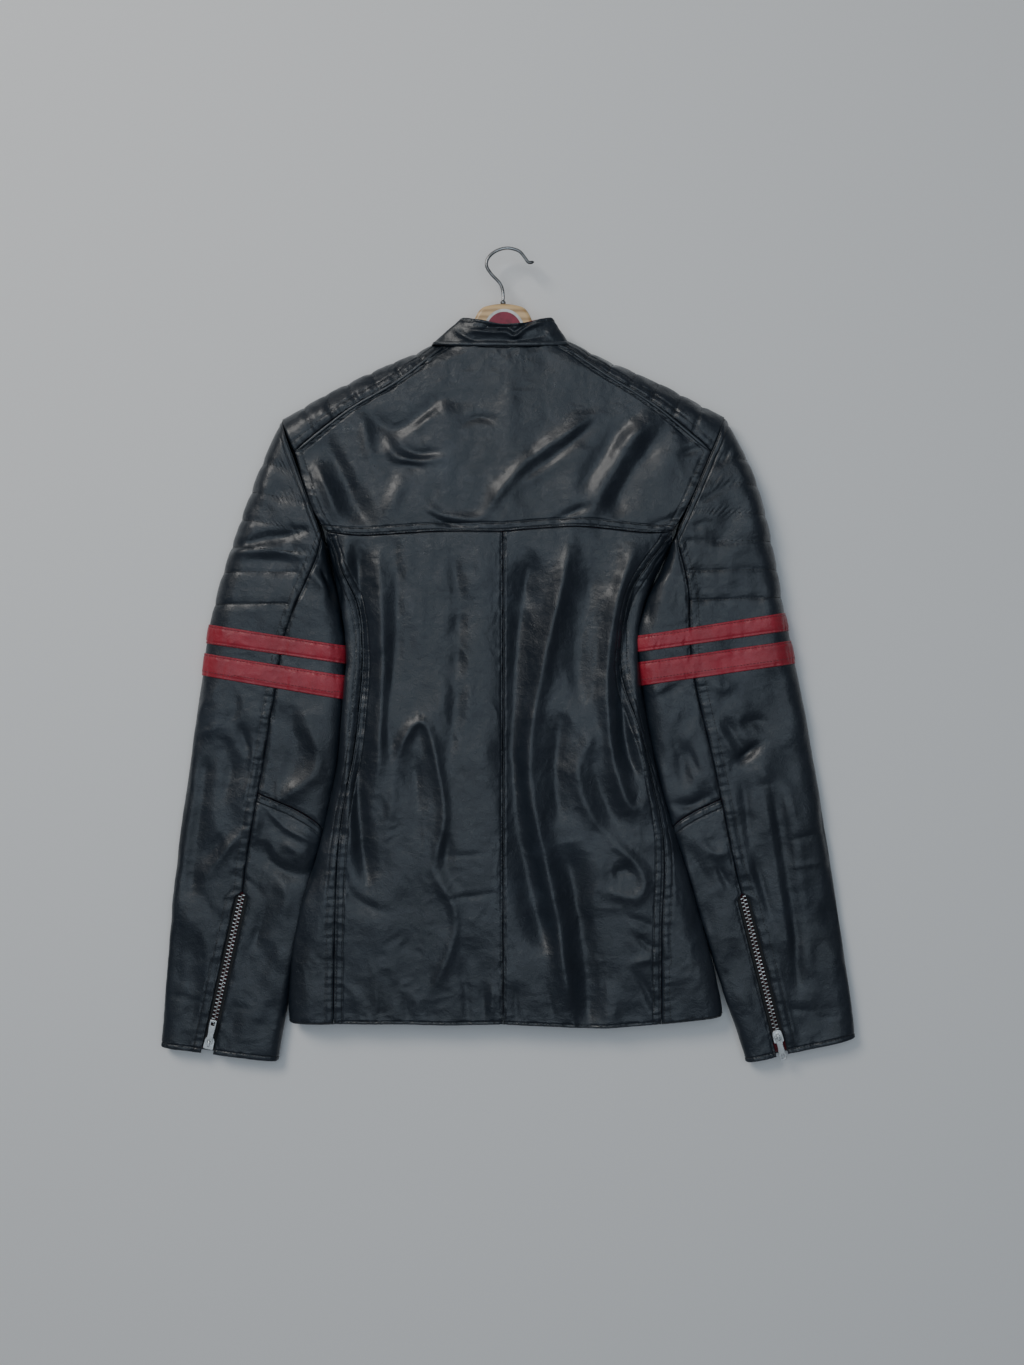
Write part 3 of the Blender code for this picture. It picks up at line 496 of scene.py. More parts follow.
def around_sleeve(side, s, turn, **shape):
    """Points right round a sleeve. turn runs 0 to 4, from its upper seam back to it."""
    s, turn = np.broadcast_arrays(s, turn)
    outside = turn < 2
    return np.where(outside[..., None],
                    sleeve(side, s, np.where(outside, turn, 0), False, **shape),
                    sleeve(side, s, np.where(outside, 0, 4 - turn), True, **shape))


def outward(grid, closed=False):
    """Unit normals of a grid, turned out of the jacket, and whether they were turned."""
    if closed:
        du = np.roll(grid, -1, axis=1) - np.roll(grid, 1, axis=1)
    else:
        du = np.gradient(grid, axis=1)
    n = np.cross(du, np.gradient(grid, axis=0))
    turned = bool((n[..., 2] * (grid[..., 2] - MIDDLE_Z)).sum() < 0)
    return unit(n) * (-1 if turned else 1), turned


FOLD_LINES = [(high, wide, curve(line, 4)) for high, wide, line in FOLDS]


def folds(points):
    """Height of the leather's folds over plan points."""
    total = np.zeros(points.shape[:-1])
    x, y = points[..., 0], points[..., 1]
    for high, wide, line in FOLD_LINES:
        reach = FOLD_REACH * wide
        low, top = line.min(0) - reach, line.max(0) + reach
        inside = (x > low[0]) & (x < top[0]) & (y > low[1]) & (y < top[1])
        if not inside.any():
            continue
        gap, share = nearest(points[inside], line)
        taper = min(long(line) * 0.4, 30.0) / long(line)
        ends = ease(-0.35 * taper, taper, np.minimum(share, 1 - share))
        total[inside] += high * ends * fold_profile(gap, wide)
    return total


def fold_profile(gap, wide):
    return np.exp(-(gap / wide) ** FOLD_SHARPNESS)


def zip_clear(points):
    """0 on a cuff zip and 1 away from it: the zip keeps its strip of leather flat."""
    gaps = [nearest(points, np.array(data["zip"], float))[0] for data in SIDE.values()]
    return ease(7, 24, np.min(gaps, axis=0))


def wrinkled(grid, out):
    """Folds, waves and fine creases of a panel, laid along its outward normals."""
    x, y, z = grid[..., 0], grid[..., 1], grid[..., 2]
    up = ease(0.15, 0.75, out[..., 2])
    down = ease(0.3, -0.3, out[..., 2])
    bent_x, bent_y = x + 9 * noise(x / 27, y / 27, 5), y + 9 * noise(x / 27, y / 27, 9)
    waves = 2.0 * noise(x / 33, y / 52, z / 20) + 0.8 * noise(x / 13 + 7, y / 19, z / 12)
    fine = 1.0 * creases(bent_x / 25, bent_y / 33, z / 25) + 0.4 * creases(bent_x / 9, bent_y / 11)
    fine += 0.13 * creases(x / 4.1, y / 3.7, z / 4)
    rise = folds(grid) * up + (waves + fine) * (0.45 + 0.55 * up) * (1 - 0.6 * down)
    return grid + out * (rise * zip_clear(grid))[..., None]


def borders(grid):
    """Distance in millimetres from each side of a grid, along its surface."""
    du = np.linalg.norm(np.diff(grid, axis=1), axis=-1)
    dv = np.linalg.norm(np.diff(grid, axis=0), axis=-1)
    left = np.concatenate([np.zeros((len(grid), 1)), np.cumsum(du, 1)], 1)
    bottom = np.concatenate([np.zeros((1, grid.shape[1])), np.cumsum(dv, 0)], 0)
    return {"left": left, "right": left[:, -1:] - left,
            "bottom": bottom, "top": bottom[-1:] - bottom}


def seamed(grid, out, rows):
    """Turns each sewn side of a panel down into its seam, with a groove under every row
    of stitches and puckers across them."""
    away = borders(grid)
    rise = np.zeros(grid.shape[:-1])
    for side, stitches in rows.items():
        gap = away[side]
        along = away["bottom"] if side in ("left", "right") else away["left"]
        rise -= SEAM_DROP * turned_down(gap, 1.6)
        if not stitches:
            continue
        far = max(stitches)
        for row in stitches:
            rise -= STITCH_GROOVE * groove(gap, row, 0.75)
        ripple = noise(along / 3.3, gap / 30, len(side)) + 0.4 * noise(along / 1.7, gap / 9)
        rise += PUCKER * ripple * ease(far + 3.5, far - 1, gap) * ease(0, 1.5, gap)
        drag = noise(along / 6.5, gap / 40, 3.3)
        rise += 0.6 * PUCKER * drag * np.exp(-gap / 12) * ease(0, 4, gap)
    return grid + out * rise[..., None]


# -------------------------------------------------------------------- making objects

THREADS = {"black": [], "red": []}


def look(name):
    """A piece's name, kept apart from the CAD node that it stands for."""
    return f"{name}_look" if name in frame["nodes"] else name


def link(name, data):
    obj = bpy.data.objects.new(name, data)
    bpy.context.scene.collection.objects.link(obj)
    return obj


def finish_mesh(name, mesh, to_world, material, crease=None):
    """Turns a mesh drawn in millimetres into an object. crease is the angle of its edges."""
    mesh.transform(to_world @ Matrix.Scale(MM, 4))
    mesh.materials.clear()
    mesh.materials.append(material)
    mesh.shade_smooth()
    if crease:
        mesh.set_sharp_from_angle(angle=math.radians(crease))
    return link(look(name), mesh)


def new_mesh(name, points, faces, material, to_world=IN_PLACE, crease=None):
    mesh = bpy.data.meshes.new(look(name))
    mesh.from_pydata(np.asarray(points).tolist(), [], [list(f) for f in faces])
    return finish_mesh(name, mesh, to_world, material, crease)


def grid_faces(rows, columns, closed=False, flip=False):
    """Quads of a grid of points, closed round the columns if asked."""
    k = np.arange(columns if closed else columns - 1)
    n = (k + 1) % columns
    found = np.concatenate([np.stack([r * columns + k, r * columns + n, (r + 1) * columns + n,
                                      (r + 1) * columns + k], -1) for r in range(rows - 1)])
    return found[:, ::-1] if flip else found


def tube_faces(rows, around, flip=False):
    """Faces of a tube of rings, with both of its ends capped."""
    ends = [range(around)[::-1], range(around * (rows - 1), around * rows)]
    found = grid_faces(rows, around, True).tolist() + [list(end) for end in ends]
    return [face[::-1] for face in found] if flip else found


def tube_points(middle, side, up, radius, around, flat=1.0):
    """Rings of points round a line, wider than they are high if flat is over 1."""
    turn = np.arange(around) / around * 2 * np.pi
    ring = (side[:, None] * np.cos(turn)[None, :, None] * flat
            + up[:, None] * np.sin(turn)[None, :, None])
    return middle[:, None] + ring * radius[:, None, None]


def dress(obj, slot, *nodes, body="jacket"):
    """Puts a piece on the body that it rides on and hides the nodes that it stands for. Its slot
    is not used.
    """
    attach(obj, body)
    if nodes:
        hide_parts(*nodes)


def thicken(obj, thickness):
    """Gives a sheet its thickness, inwards from its outer face."""
    solid = obj.modifiers.new("Thickness", "SOLIDIFY")
    solid.thickness = thickness * MM
    solid.offset = -1
    return obj


def sewn(name, grid, flip, material, slot, thickness, closed=False):
    """A piece of leather or cloth, made from the finished grid of its outer face."""
    faces = grid_faces(*grid.shape[:2], closed, flip)
    obj = thicken(new_mesh(name, grid.reshape(-1, 3), faces, material), thickness)
    dress(obj, slot, name)


def panel(name, base, rows, quilts=()):
    """A finished panel from its base grid. rows gives the stitch rows on each sewn side,
    and quilts the lines that its quilting follows."""
    out, flip = outward(base)
    grid = wrinkled(base, out)
    if quilts:
        grid = quilted(grid, out, quilts)
    grid = seamed(grid, out, rows)
    grid[..., 2] = np.maximum(grid[..., 2], LOWEST)
    sewn(name, grid, flip, BLACK, "black_leather", LEATHER)
    sew(grid, out, rows)


def quilted(grid, out, quilts):
    """Sinks each stitched line into the panel, and swells the leather in between."""
    lines = [at(np.array(q, float), np.linspace(0, 1, 60)) for q in quilts]
    gap = np.min([nearest(grid, line)[0] for line in lines], axis=0)
    side = grid[..., 0] + grid[..., 2]
    rise = 0.85 * ease(0, 8, gap) - 0.55 - 0.75 * groove(gap, 0, 1.0)
    rise += 0.6 * noise(side / 3.6, gap / 30) * np.exp(-gap / 5)
    made = grid + out * rise[..., None]
    upper = out[..., 2] > 0.1
    points, facing = made[upper], out[upper]
    for line in lines:
        far = np.linalg.norm(points[None, :, :2] - line[:, None], axis=-1)
        order = np.argsort(far, axis=1)[:, :4]
        near = np.take_along_axis(far, order, 1)
        kept = near[:, 0] < 1.5
        weight = 1 / (near[kept] + 0.05)
        weight /= weight.sum(1, keepdims=True)
        level = (points[order[kept], 2] * weight).sum(1)
        up = (facing[order[kept]] * weight[..., None]).sum(1)
        if kept.sum() > 4:
            THREADS["black"].append((np.column_stack([line[kept], level]), up))
    return made


def sew(grid, out, rows):
    """Adds stitches along the rows at given distances from the sides of a grid."""
    away = borders(grid)
    for side, stitches in rows.items():
        for row in stitches:
            across = 1 if side in ("left", "right") else 0
            where = np.abs(away[side] - row).argmin(axis=across)
            index = np.arange(len(where))
            pick = (index, where) if across else (where, index)
            THREADS["black"].append((grid[pick], out[pick]))


def make_threads(colour, material, slot):
    """All the stitches of one colour, each a short rounded bar that dips at its ends."""
    points, faces = [], []
    turn = np.arange(6) * math.pi / 3
    ring = np.stack([np.cos(turn), np.sin(turn)], -1)
    # Along the stitch, width and height at each of its rings.
    profile = [(-0.5, 0.15, -0.5), (-0.42, 0.8, -0.1), (0, 1.0, 0.25), (0.42, 0.8, -0.1),
               (0.5, 0.15, -0.5)]
    stitch = tube_faces(len(profile), len(ring))
    for line, out in THREADS[colour]:
        total = long(line)
        count = int(total / STITCH_PITCH)
        if count < 2:
            continue
        share = (np.arange(count) + 0.5) / count
        centre, up = at(line, share), unit(at(line, share, out))
        before, after = (at(line, np.clip(share + step / total, 0, 1)) for step in (-0.5, 0.5))
        ahead = unit(after - before)
        side = np.cross(ahead, up)
        for c, a, s, n in zip(centre, ahead, side, up):
            faces += [[len(points) + k for k in face] for face in stitch]
            for along, wide, high in profile:
                middle = c + a * along * STITCH_LONG + n * high * STITCH_RADIUS
                points += [middle + (s * x + n * y) * wide * STITCH_RADIUS for x, y in ring]
    dress(new_mesh(f"stitches_{colour}", points, faces, material), slot)


# ------------------------------------------------------------------------ materials

class Surface:
    """A Principled material built up from procedural textures in object coordinates."""

    def __init__(self, name, colour, roughness, metallic=0.0, **settings):
        self.material = bpy.data.materials.new(name)
        self.material.use_nodes = True
        self.nodes = self.material.node_tree.nodes
        self.links = self.material.node_tree.links
        self.inputs = self.nodes["Principled BSDF"].inputs
        self.inputs["Base Color"].default_value = (*colour, 1)
        self.inputs["Roughness"].default_value = roughness
        self.inputs["Metallic"].default_value = metallic
        for key, value in settings.items():
            self.inputs[key.replace("_", " ")].default_value = value

    def texture(self, kind, scale, stretch=(1, 1, 1), **settings):
        place = self.nodes.new("ShaderNodeTexCoord")
        mapping = self.nodes.new("ShaderNodeMapping")
        mapping.inputs["Scale"].default_value = stretch
        made = self.nodes.new(f"ShaderNodeTex{kind}")
        made.inputs["Scale"].default_value = scale
        for key, value in settings.items():
            if isinstance(value, str):
                setattr(made, key, value)
            else:
                made.inputs[key.title()].default_value = value
        self.links.new(place.outputs["Object"], mapping.inputs["Vector"])
        self.links.new(mapping.outputs["Vector"], made.inputs["Vector"])
        return made.outputs["Distance" if kind == "Voronoi" else "Fac"]

    def maths(self, operation, *terms):
        made = self.nodes.new("ShaderNodeMath")
        made.operation = operation
        for socket, term in zip(made.inputs, terms):
            if isinstance(term, float):
                socket.default_value = term
            else:
                self.links.new(term, socket)
        return made.outputs[0]

    def ramp(self, source, *stops, to=None):
        """Turns a grey value into colours, or greys, by stops of (place, colour)."""
        made = self.nodes.new("ShaderNodeValToRGB")
        elements = made.color_ramp.elements
        while len(elements) < len(stops):
            elements.new(0.5)
        for element, (place, colour) in zip(elements, stops):
            element.position = place
            element.color = (*colour, 1) if isinstance(colour, tuple) else (colour,) * 3 + (1,)
        self.links.new(source, made.inputs["Fac"])
        if to:
            self.links.new(made.outputs["Color"], self.inputs[to])
        return made.outputs["Color"]

    def bump(self, *layers):
        """Stacks bump layers of (height output, strength, distance)."""
        normal = None
        for height, strength, distance in layers:
            bump = self.nodes.new("ShaderNodeBump")
            bump.inputs["Strength"].default_value = strength
            bump.inputs["Distance"].default_value = distance
            self.links.new(height, bump.inputs["Height"])
            if normal:
                self.links.new(normal, bump.inputs["Normal"])
            normal = bump.outputs["Normal"]
        self.links.new(normal, self.inputs["Normal"])


def leather(name, dark, light, worn, roughness, coat):
    """Glazed leather: a pebbled grain with pores, soft patches of wear, and a thin glaze."""
    made = Surface(name, dark, roughness, Coat_Weight=coat, Coat_Roughness=0.22, Coat_IOR=1.45,
                   Specular_IOR_Level=0.5)
    patches = made.texture("Noise", 14, detail=6.0, roughness=0.62)
    made.ramp(patches, (0.3, dark), (0.62, light), (0.82, worn), to="Base Color")
    shine = made.texture("Noise", 55, detail=5.0, roughness=0.6)
    made.ramp(shine, (0.25, roughness - 0.09), (0.75, roughness + 0.13), to="Roughness")
    pebbles = made.texture("Voronoi", 620, feature="DISTANCE_TO_EDGE", randomness=1.0)
    grain = made.ramp(pebbles, (0.0, 0.0), (0.22, 1.0))
    pores = made.texture("Noise", 1500, detail=3.0)
    crinkle = made.texture("Noise", 160, detail=6.0, roughness=0.7, distortion=0.6)
    made.bump((crinkle, 0.45, 0.0016), (grain, 0.28, 0.00022), (pores, 0.2, 0.00012))
    return made.material


def woven(name, dark, light, scale, sheen):
    """A woven cloth with over and under threads."""
    made = Surface(name, dark, 0.62, Sheen_Weight=sheen, Sheen_Roughness=0.4)
    warp, weft = (made.texture("Wave", scale, distortion=0.4, bands_direction=axis)
                  for axis in "XY")
    weave = made.maths("MULTIPLY", warp, weft)
    made.ramp(weave, (0.0, dark), (1.0, light), to="Base Color")
    made.bump((weave, 0.5, 0.0002))
    return made.material


def metal(name, dark, light, roughness):
    """Plated metal with tarnish in patches and fine scratches."""
    made = Surface(name, light, roughness, 1.0)
    patches = made.texture("Noise", 90, detail=5.0)
    made.ramp(patches, (0.32, dark), (0.6, light), to="Base Color")
    made.ramp(patches, (0.3, roughness + 0.14), (0.7, roughness - 0.06), to="Roughness")
    made.bump((made.texture("Noise", 260, stretch=(1, 9, 1), detail=4.0), 0.25, 0.0002))
    return made.material


def wood(name, dark, middle, light):
    """Pale varnished wood with long grain and darker pores."""
    made = Surface(name, middle, 0.38, Coat_Weight=0.35, Coat_Roughness=0.25)
    rings = made.texture("Wave", 42, stretch=(0.35, 1, 1), distortion=5.0, detail=3.0,
                         bands_direction="Y")
    fibres = made.texture("Noise", 520, stretch=(0.05, 1, 1), detail=5.0)
    grain = made.maths("MULTIPLY_ADD", fibres, 0.45, rings)
    made.ramp(grain, (0.1, dark), (0.5, middle), (1.0, light), to="Base Color")
    made.bump((fibres, 0.2, 0.0003))
    return made.material


def printed(name, dark, light):
    """Glossy paper with faint wear."""
    made = Surface(name, light, 0.45, Coat_Weight=0.15)
    wear = made.texture("Noise", 180, detail=5.0)
    made.ramp(wear, (0.35, dark), (0.6, light), to="Base Color")
    made.bump((wear, 0.15, 0.0002))
    return made.material


# The black leather's colours are its own near-black, tinted blue: the blue tint is a painted
# reflection of a cool sky in the leather's sheen.
BLACK = leather("black_leather", (0.006, 0.010, 0.016), (0.012, 0.018, 0.027),
                (0.028, 0.038, 0.052), 0.34, 0.30)
RED = leather("red_leather", (0.25, 0.009, 0.020), (0.38, 0.017, 0.036),
              (0.44, 0.05, 0.07), 0.42, 0.22)
# A lighter, bluish copy of the black leather, used for the shoulder piping, the collar's lip and
# the hang loop: its lighter tone is painted highlight along the piping and the lip, and its blue
# tint is a painted reflection of a cool sky.
HIGHLIGHT_PAINTED_LEATHER = leather("highlight_painted_leather", (0.014, 0.019, 0.025), (0.030, 0.038, 0.048),
                 (0.07, 0.085, 0.1), 0.34, 0.4)
LINING = woven("red_lining", (0.13, 0.005, 0.012), (0.30, 0.016, 0.034), 900, 0.4)
TAPE = woven("zip_tape", (0.004, 0.004, 0.005), (0.014, 0.014, 0.016), 1100, 0.2)
BLACK_THREAD = woven("black_thread", (0.003, 0.003, 0.004), (0.012, 0.013, 0.015), 1600, 0.1)
RED_THREAD = woven("red_thread", (0.10, 0.004, 0.010), (0.24, 0.012, 0.026), 1600, 0.3)
METAL = metal("zip_metal", (0.50, 0.50, 0.49), (0.88, 0.88, 0.87), 0.33)
STEEL = metal("hook_steel", (0.11, 0.11, 0.11), (0.42, 0.42, 0.42), 0.26)
WOOD = wood("hanger_wood", (0.44, 0.25, 0.1), (0.62, 0.41, 0.2), (0.80, 0.54, 0.27))
PAPER = printed("label_border", (0.55, 0.54, 0.52), (0.74, 0.74, 0.73))
STICKER = printed("label_face", (0.20, 0.008, 0.03), (0.30, 0.014, 0.045))


# -------------------------------------------------------------------------- panels

# Stitch rows, by their distances from a seam.
DOUBLE = (1.9, 8.6)
SINGLE = (2.0,)
HEM_ROW = (3.0,)
ZIP_ROWS = (2.0, 7.5)
CUFF_ROW = (5.0,)

HEM = {"left": [(-179, -371), (-112, -371), (-60, -372), (CENTRE_X, HEM_Y)],
       "right": [(CENTRE_X, HEM_Y), (42, -373), (94, -375), (156, -371)]}
NECK = {"left": [(-64, 325), (-33, 322), (CENTRE_X, 321)],
        "right": [(CENTRE_X, 321), (25, 322), (52, 325)]}


def patch(name, bottom, top, left, right, rows, upper=True):
    """A torso panel between four lines in plan. It is coarser on the unseen front."""
    width, height = (long(bottom) + long(top)) / 2, (long(left) + long(right)) / 2
    step = {"near": 11, "coarse": ALONG} if upper else {"near": 3, "coarse": COARSE}
    u = spread(width, [0.0] * ("left" in rows) + [width] * ("right" in rows), **step)
    v = spread(height, [0.0] * ("bottom" in rows) + [height] * ("top" in rows), **step)
    panel(name, torso(coons(bottom, top, left, right, u, v), upper), rows)


def make_torso():
    """The yoke, back, sides, shoulders and fronts."""
    left, right = SIDE["left"], SIDE["right"]
    patch("back_yoke", chain(YOKE_LEFT, YOKE_RIGHT), chain(NECK["left"], NECK["right"]),
          chain(left["armhole"], left["shoulder_back"][::-1]),
          chain(right["armhole"], right["shoulder_back"][::-1]),
          {"bottom": DOUBLE, "left": DOUBLE, "right": DOUBLE, "top": SINGLE})
    centre = at(np.array([(CENTRE_X, HEM_Y), (CENTRE_X, YOKE_Y)]), np.linspace(0, 1, 40))
    ends = {"top": (), "bottom": HEM_ROW}
    patch("back_panel_left", curve(HEM["left"]), curve(YOKE_LEFT), curve(left["back_seam"]),
          centre, {"left": DOUBLE, "right": SINGLE, **ends})
    patch("back_panel_right", curve(HEM["right"]), curve(YOKE_RIGHT), centre,
          curve(right["back_seam"]), {"right": DOUBLE, "left": SINGLE, **ends})
    for side, data in SIDE.items():
        rounded(f"side_panel_{side}", data, "back_seam", "edge", "front_seam",
                {"left": DOUBLE, "bottom": HEM_ROW})
        rounded(f"shoulder_panel_{side}", data, "shoulder_back", "shoulder_edge",
                "shoulder_front", {"left": DOUBLE}, quilting(data))
        make_front(side, data)


def rounded(name, data, back, edge, front, rows, quilts=()):
    """A panel that starts on the back, rolls round the torso's edge, and ends in front."""
    edge = curve(data[edge])
    v = np.linspace(0, 1, max(8, int(long(edge) / ALONG)))
    turn = np.sin(np.linspace(0, np.pi / 2, 35))[None, :, None]
    e = at(edge, v)

    def half(seam, upper):
        start = at(curve(data[seam]), v)
        start = start + unit(e - start) * SEAM_GAP / 2
        return torso(start[:, None] + (e - start)[:, None] * turn, upper)

    base = np.concatenate([half(back, True), half(front, False)[:, -2::-1]], 1)
    panel(name, base, rows, quilts)


def quilting(data):
    """Quilting lines across a shoulder, from its seam to past its edge."""
    share = np.array([0.16, 0.3, 0.44, 0.58, 0.72, 0.86])
    seam, edge = (at(curve(data[k]), share) for k in ("shoulder_back", "shoulder_edge"))
    return [(a, a + (b - a) * 1.3) for a, b in zip(seam, edge)]


def make_front(side, data):
    """Half of the front, from the zip to the side panel, with its curved neck."""
    sign = SIGN[side]
    inner = CENTRE_X + sign * ZIP_SLOT
    top_x, hem_x = data["shoulder_front"][0][0], data["front_seam"][0][0]
    zip_line = at(np.array([(inner, HEM_Y), (inner, 262.0)]), np.linspace(0, 1, 30))
    hem = curve([(inner, HEM_Y), ((inner + hem_x) / 2, HEM_Y - 2), (hem_x, HEM_Y)])
    neck = curve([(inner, 262), (CENTRE_X + sign * 34, 268), (CENTRE_X + sign * 58, 285),
                  (top_x, 300)])
    outer = chain(data["front_seam"], [data["front_seam"][-1], data["shoulder_front"][-1]],
                  data["shoulder_front"][::-1])
    patch(f"front_panel_{side}", hem, neck, zip_line, outer,
          {"left": ZIP_ROWS, "right": SINGLE, "bottom": HEM_ROW, "top": SINGLE}, upper=False)


def arm_grid(side, first, last, inner_half, step):
    """The base grid of one half of a sleeve. first and last give where it starts and ends,
    in sections, at the upper seam, the edge and the lower seam."""
    steps = np.linspace(first[1], last[1], 60)
    length = long(section(side, steps)[1 if inner_half else 0])
    v = spread(length, [0.0, length], near=9, coarse=step)
    w = np.concatenate([spread(48, [0.0], near=11, coarse=2.2), 1 + np.linspace(0, 1, 24)[1:]])
    start, end = np.interp(w, (0, 1, 2), first), np.interp(w, (0, 1, 2), last)
    s = start + (end - start) * v[:, None]
    w = np.broadcast_to(w, s.shape)
    top, foot = np.array(SIDE[side]["zip"], float)
    seam = sleeve(side, s, np.zeros_like(s), inner_half)[..., :2]
    opened = ease(top[1] + 2, top[1] - 5, seam[..., 1])
    slot = SEAM_GAP / 2 + (ZIP_SLOT - SEAM_GAP / 2) * opened
    along = unit(foot - top)
    on_zip = top + along * ((seam - top) @ along)[..., None]
    outer, inner, _ = section(side, s)
    shift = ((on_zip - seam) * unit(inner - outer)).sum(-1)
    shift = shift * ease(top[1] + 30, top[1] - 2, seam[..., 1])
    return sleeve(side, s, w, inner_half, gap=slot * (1 if inner_half else -1) + shift)


def make_arm(side):
    """The outer and inner halves of a sleeve, above and below the elbow."""
    elbow = (*ELBOW[side], ELBOW[side][1] + 0.1)
    below = tuple(e + 0.004 for e in elbow)
    top, cuff, meet, meet_below = (0.03,) * 3, (7.0,) * 3, (BAND,) * 3, (BAND + 0.003,) * 3
    # Each half: inner or outer, where it starts and ends, its stitch rows and quilting.
    halves = {
        "sleeve_outer": (False, top, meet,
                         {"left": DOUBLE, "right": SINGLE, "bottom": DOUBLE}, QUILTS[side]),
        "forearm_outer": (False, meet_below, cuff,
                          {"left": (2.2, 9.5), "right": SINGLE, "top": CUFF_ROW}, ()),
        "sleeve_inner": (True, top, elbow,
                         {"left": SINGLE, "right": SINGLE, "bottom": (), "top": SINGLE}, ()),
        "forearm_inner": (True, below, cuff,
                          {"left": (2.2,), "right": SINGLE, "bottom": DOUBLE, "top": CUFF_ROW},
                          ()),
    }
    for name, (inner_half, first, last, rows, quilts) in halves.items():
        grid = arm_grid(side, first, last, inner_half, QUILTED_STEP if quilts else ALONG)
        panel(f"{name}_{side}", grid, rows, quilts)


def make_stripe(side, which):
    """A band of red leather right round the sleeve, puckered where it is sewn on."""
    first, last = STRIPES[which]
    v = spread(STRIPE_WIDE, [0.0, STRIPE_WIDE], near=1.5, coarse=1.0)[:, None]
    turn = spread(340, [], coarse=1.25)[None, :-1] * 4
    base = around_sleeve(side, first + (last - first) * v, turn)
    out, flip = outward(base, closed=True)
    grid = wrinkled(base, out)
    away = borders(grid)
    gap = np.minimum(away["bottom"], away["top"])
    across, along = away["bottom"] / STRIPE_WIDE, away["left"]
    rise = 1.15 + 0.35 * ease(0, 6.5, gap) - 0.35 * turned_down(gap, 0.8)
    rise -= 0.5 * groove(gap, STRIPE_ROW, 0.8)
    rib = noise(along / 3.1 + 0.6 * noise(along / 9, across * 2), across * 1.6, len(which))
    rise += (0.55 * rib + 0.22 * noise(along / 7.5, across, 4.0)) * (0.45 + 0.55 * ease(9, 2, gap))
    grid = grid + out * rise[..., None]
    grid[..., 2] = np.maximum(grid[..., 2], LOWEST)
    sewn(f"stripe_{which}_{side}", grid, flip, RED, "red_leather", STRIPE_THICK, closed=True)
    for row in (STRIPE_ROW, STRIPE_WIDE - STRIPE_ROW):
        where = np.abs(away["bottom"] - row).argmin(axis=0)
        pick = (where, np.arange(len(where)))
        THREADS["red"].append((grid[pick], out[pick]))


# ------------------------------------------------------------------------- linings

# The front linings' outer edges across, at the hem, the waist, the chest and the arm.
FRONT_LINING = {"left": (-190, -146, -138, -170), "right": (178, 130, 102, 148)}


def make_lining(name, base, closed=False):
    """A lining with soft waves of its own, sunk wherever the leather over it is."""
    out, flip = outward(base, closed)
    x, y = base[..., 0], base[..., 1]
    rise = 0.5 * noise(x / 21, y / 30, 2) + 0.2 * creases(x / 7, y / 9, 1)
    rise += np.minimum(folds(base), 0) * ease(0.15, 0.75, out[..., 2])
    grid = base + out * rise[..., None]
    grid[..., 2] = np.maximum(grid[..., 2], LINING_LOWEST)
    sewn(name, grid, flip, LINING, "red_lining", LINING_THICK, closed)


def make_back_lining():
    left = chain([(-206, LINING_HEM_Y), (-178, -250), (-152, -120), (-148, 0), (-164, 110)],
                 [(-164, 110), (-196, 210), (-62, 306)])
    right = chain([(196, LINING_HEM_Y), (178, -250), (132, -120), (109, 0), (136, 110)],
                  [(136, 110), (183, 212), (50, 306)])
    hem = curve([(-206, LINING_HEM_Y), (CENTRE_X, LINING_HEM_Y), (196, LINING_HEM_Y)])
    neck = curve([(-62, 306), (CENTRE_X, 304), (50, 306)])
    plan = coons(hem, neck, left, right, np.linspace(0, 1, 70), np.linspace(0, 1, 110))
    base = torso(plan, True, LINING_INSET)
    base[..., 2] = np.maximum(base[..., 2], LINING_BACK_Z)
    make_lining("back_lining", base)


def make_front_lining(side, hem_x, waist_x, chest_x, arm_x):
    """Half of the front's lining. The four places are its outer edge, from the hem up."""
    sign = SIGN[side]
    near, top_x = CENTRE_X + sign * 20, arm_x + sign * 34
    outer = chain([(hem_x, LINING_HEM_Y), (waist_x, -120), (chest_x, 0), (arm_x, 112)],
                  [(arm_x, 112), (top_x, 205)])
    neck = curve([(near, 226), (CENTRE_X + sign * 92, 258), (top_x, 205)])
    plan = coons(curve([(near, LINING_HEM_Y), (hem_x, LINING_HEM_Y)]), neck,
                 curve([(near, LINING_HEM_Y), (near, -60), (near, 226)]), outer,
                 np.linspace(0, 1, 30), np.linspace(0, 1, 90))
    make_lining(f"front_lining_{side}", torso(plan, False, LINING_INSET))


def make_sleeve_lining(side):
    tube = around_sleeve(side, np.linspace(0.8, 6.96, 120)[:, None],
                         np.linspace(0, 4, 90)[None, :-1], lift=-6.4, low=-2.6)
    make_lining(f"sleeve_lining_{side}", tube, closed=True)


# -------------------------------------------------------------------------- collar

COLLAR_TALL = 31.0
LIP_SPAN = slice(84, 216)  # the columns of the collar's grid that its rolled lip follows
COLLAR_STOP = 173.0  # degrees round from the centre back to each side of the zip
COLLAR_ROW = 4.0  # stitches under its top edge
COLLAR_FOLDS = [
    (3.8, 2.5, [(-44, 336), (-28, 333), (-13, 332), (-2, 332), (4, 328), (9, 330), (16, 336),
                (28, 341), (38, 342)]),
    (-3.4, 2.6, [(-30, 338), (-12, 338), (-1, 338), (5, 334), (11, 337), (20, 343), (32, 348)]),
    (2.0, 3.0, [(-40, 344), (-20, 345), (-2, 344), (8, 342), (14, 346), (24, 350)]),
    (-1.8, 3.0, [(-60, 340), (-40, 327), (-20, 325), (0, 325), (25, 327), (42, 334)]),
    (1.6, 4.0, [(38, 330), (46, 338), (50, 346)]),
    (1.4, 4.0, [(-70, 331), (-56, 340), (-48, 348)]),
]


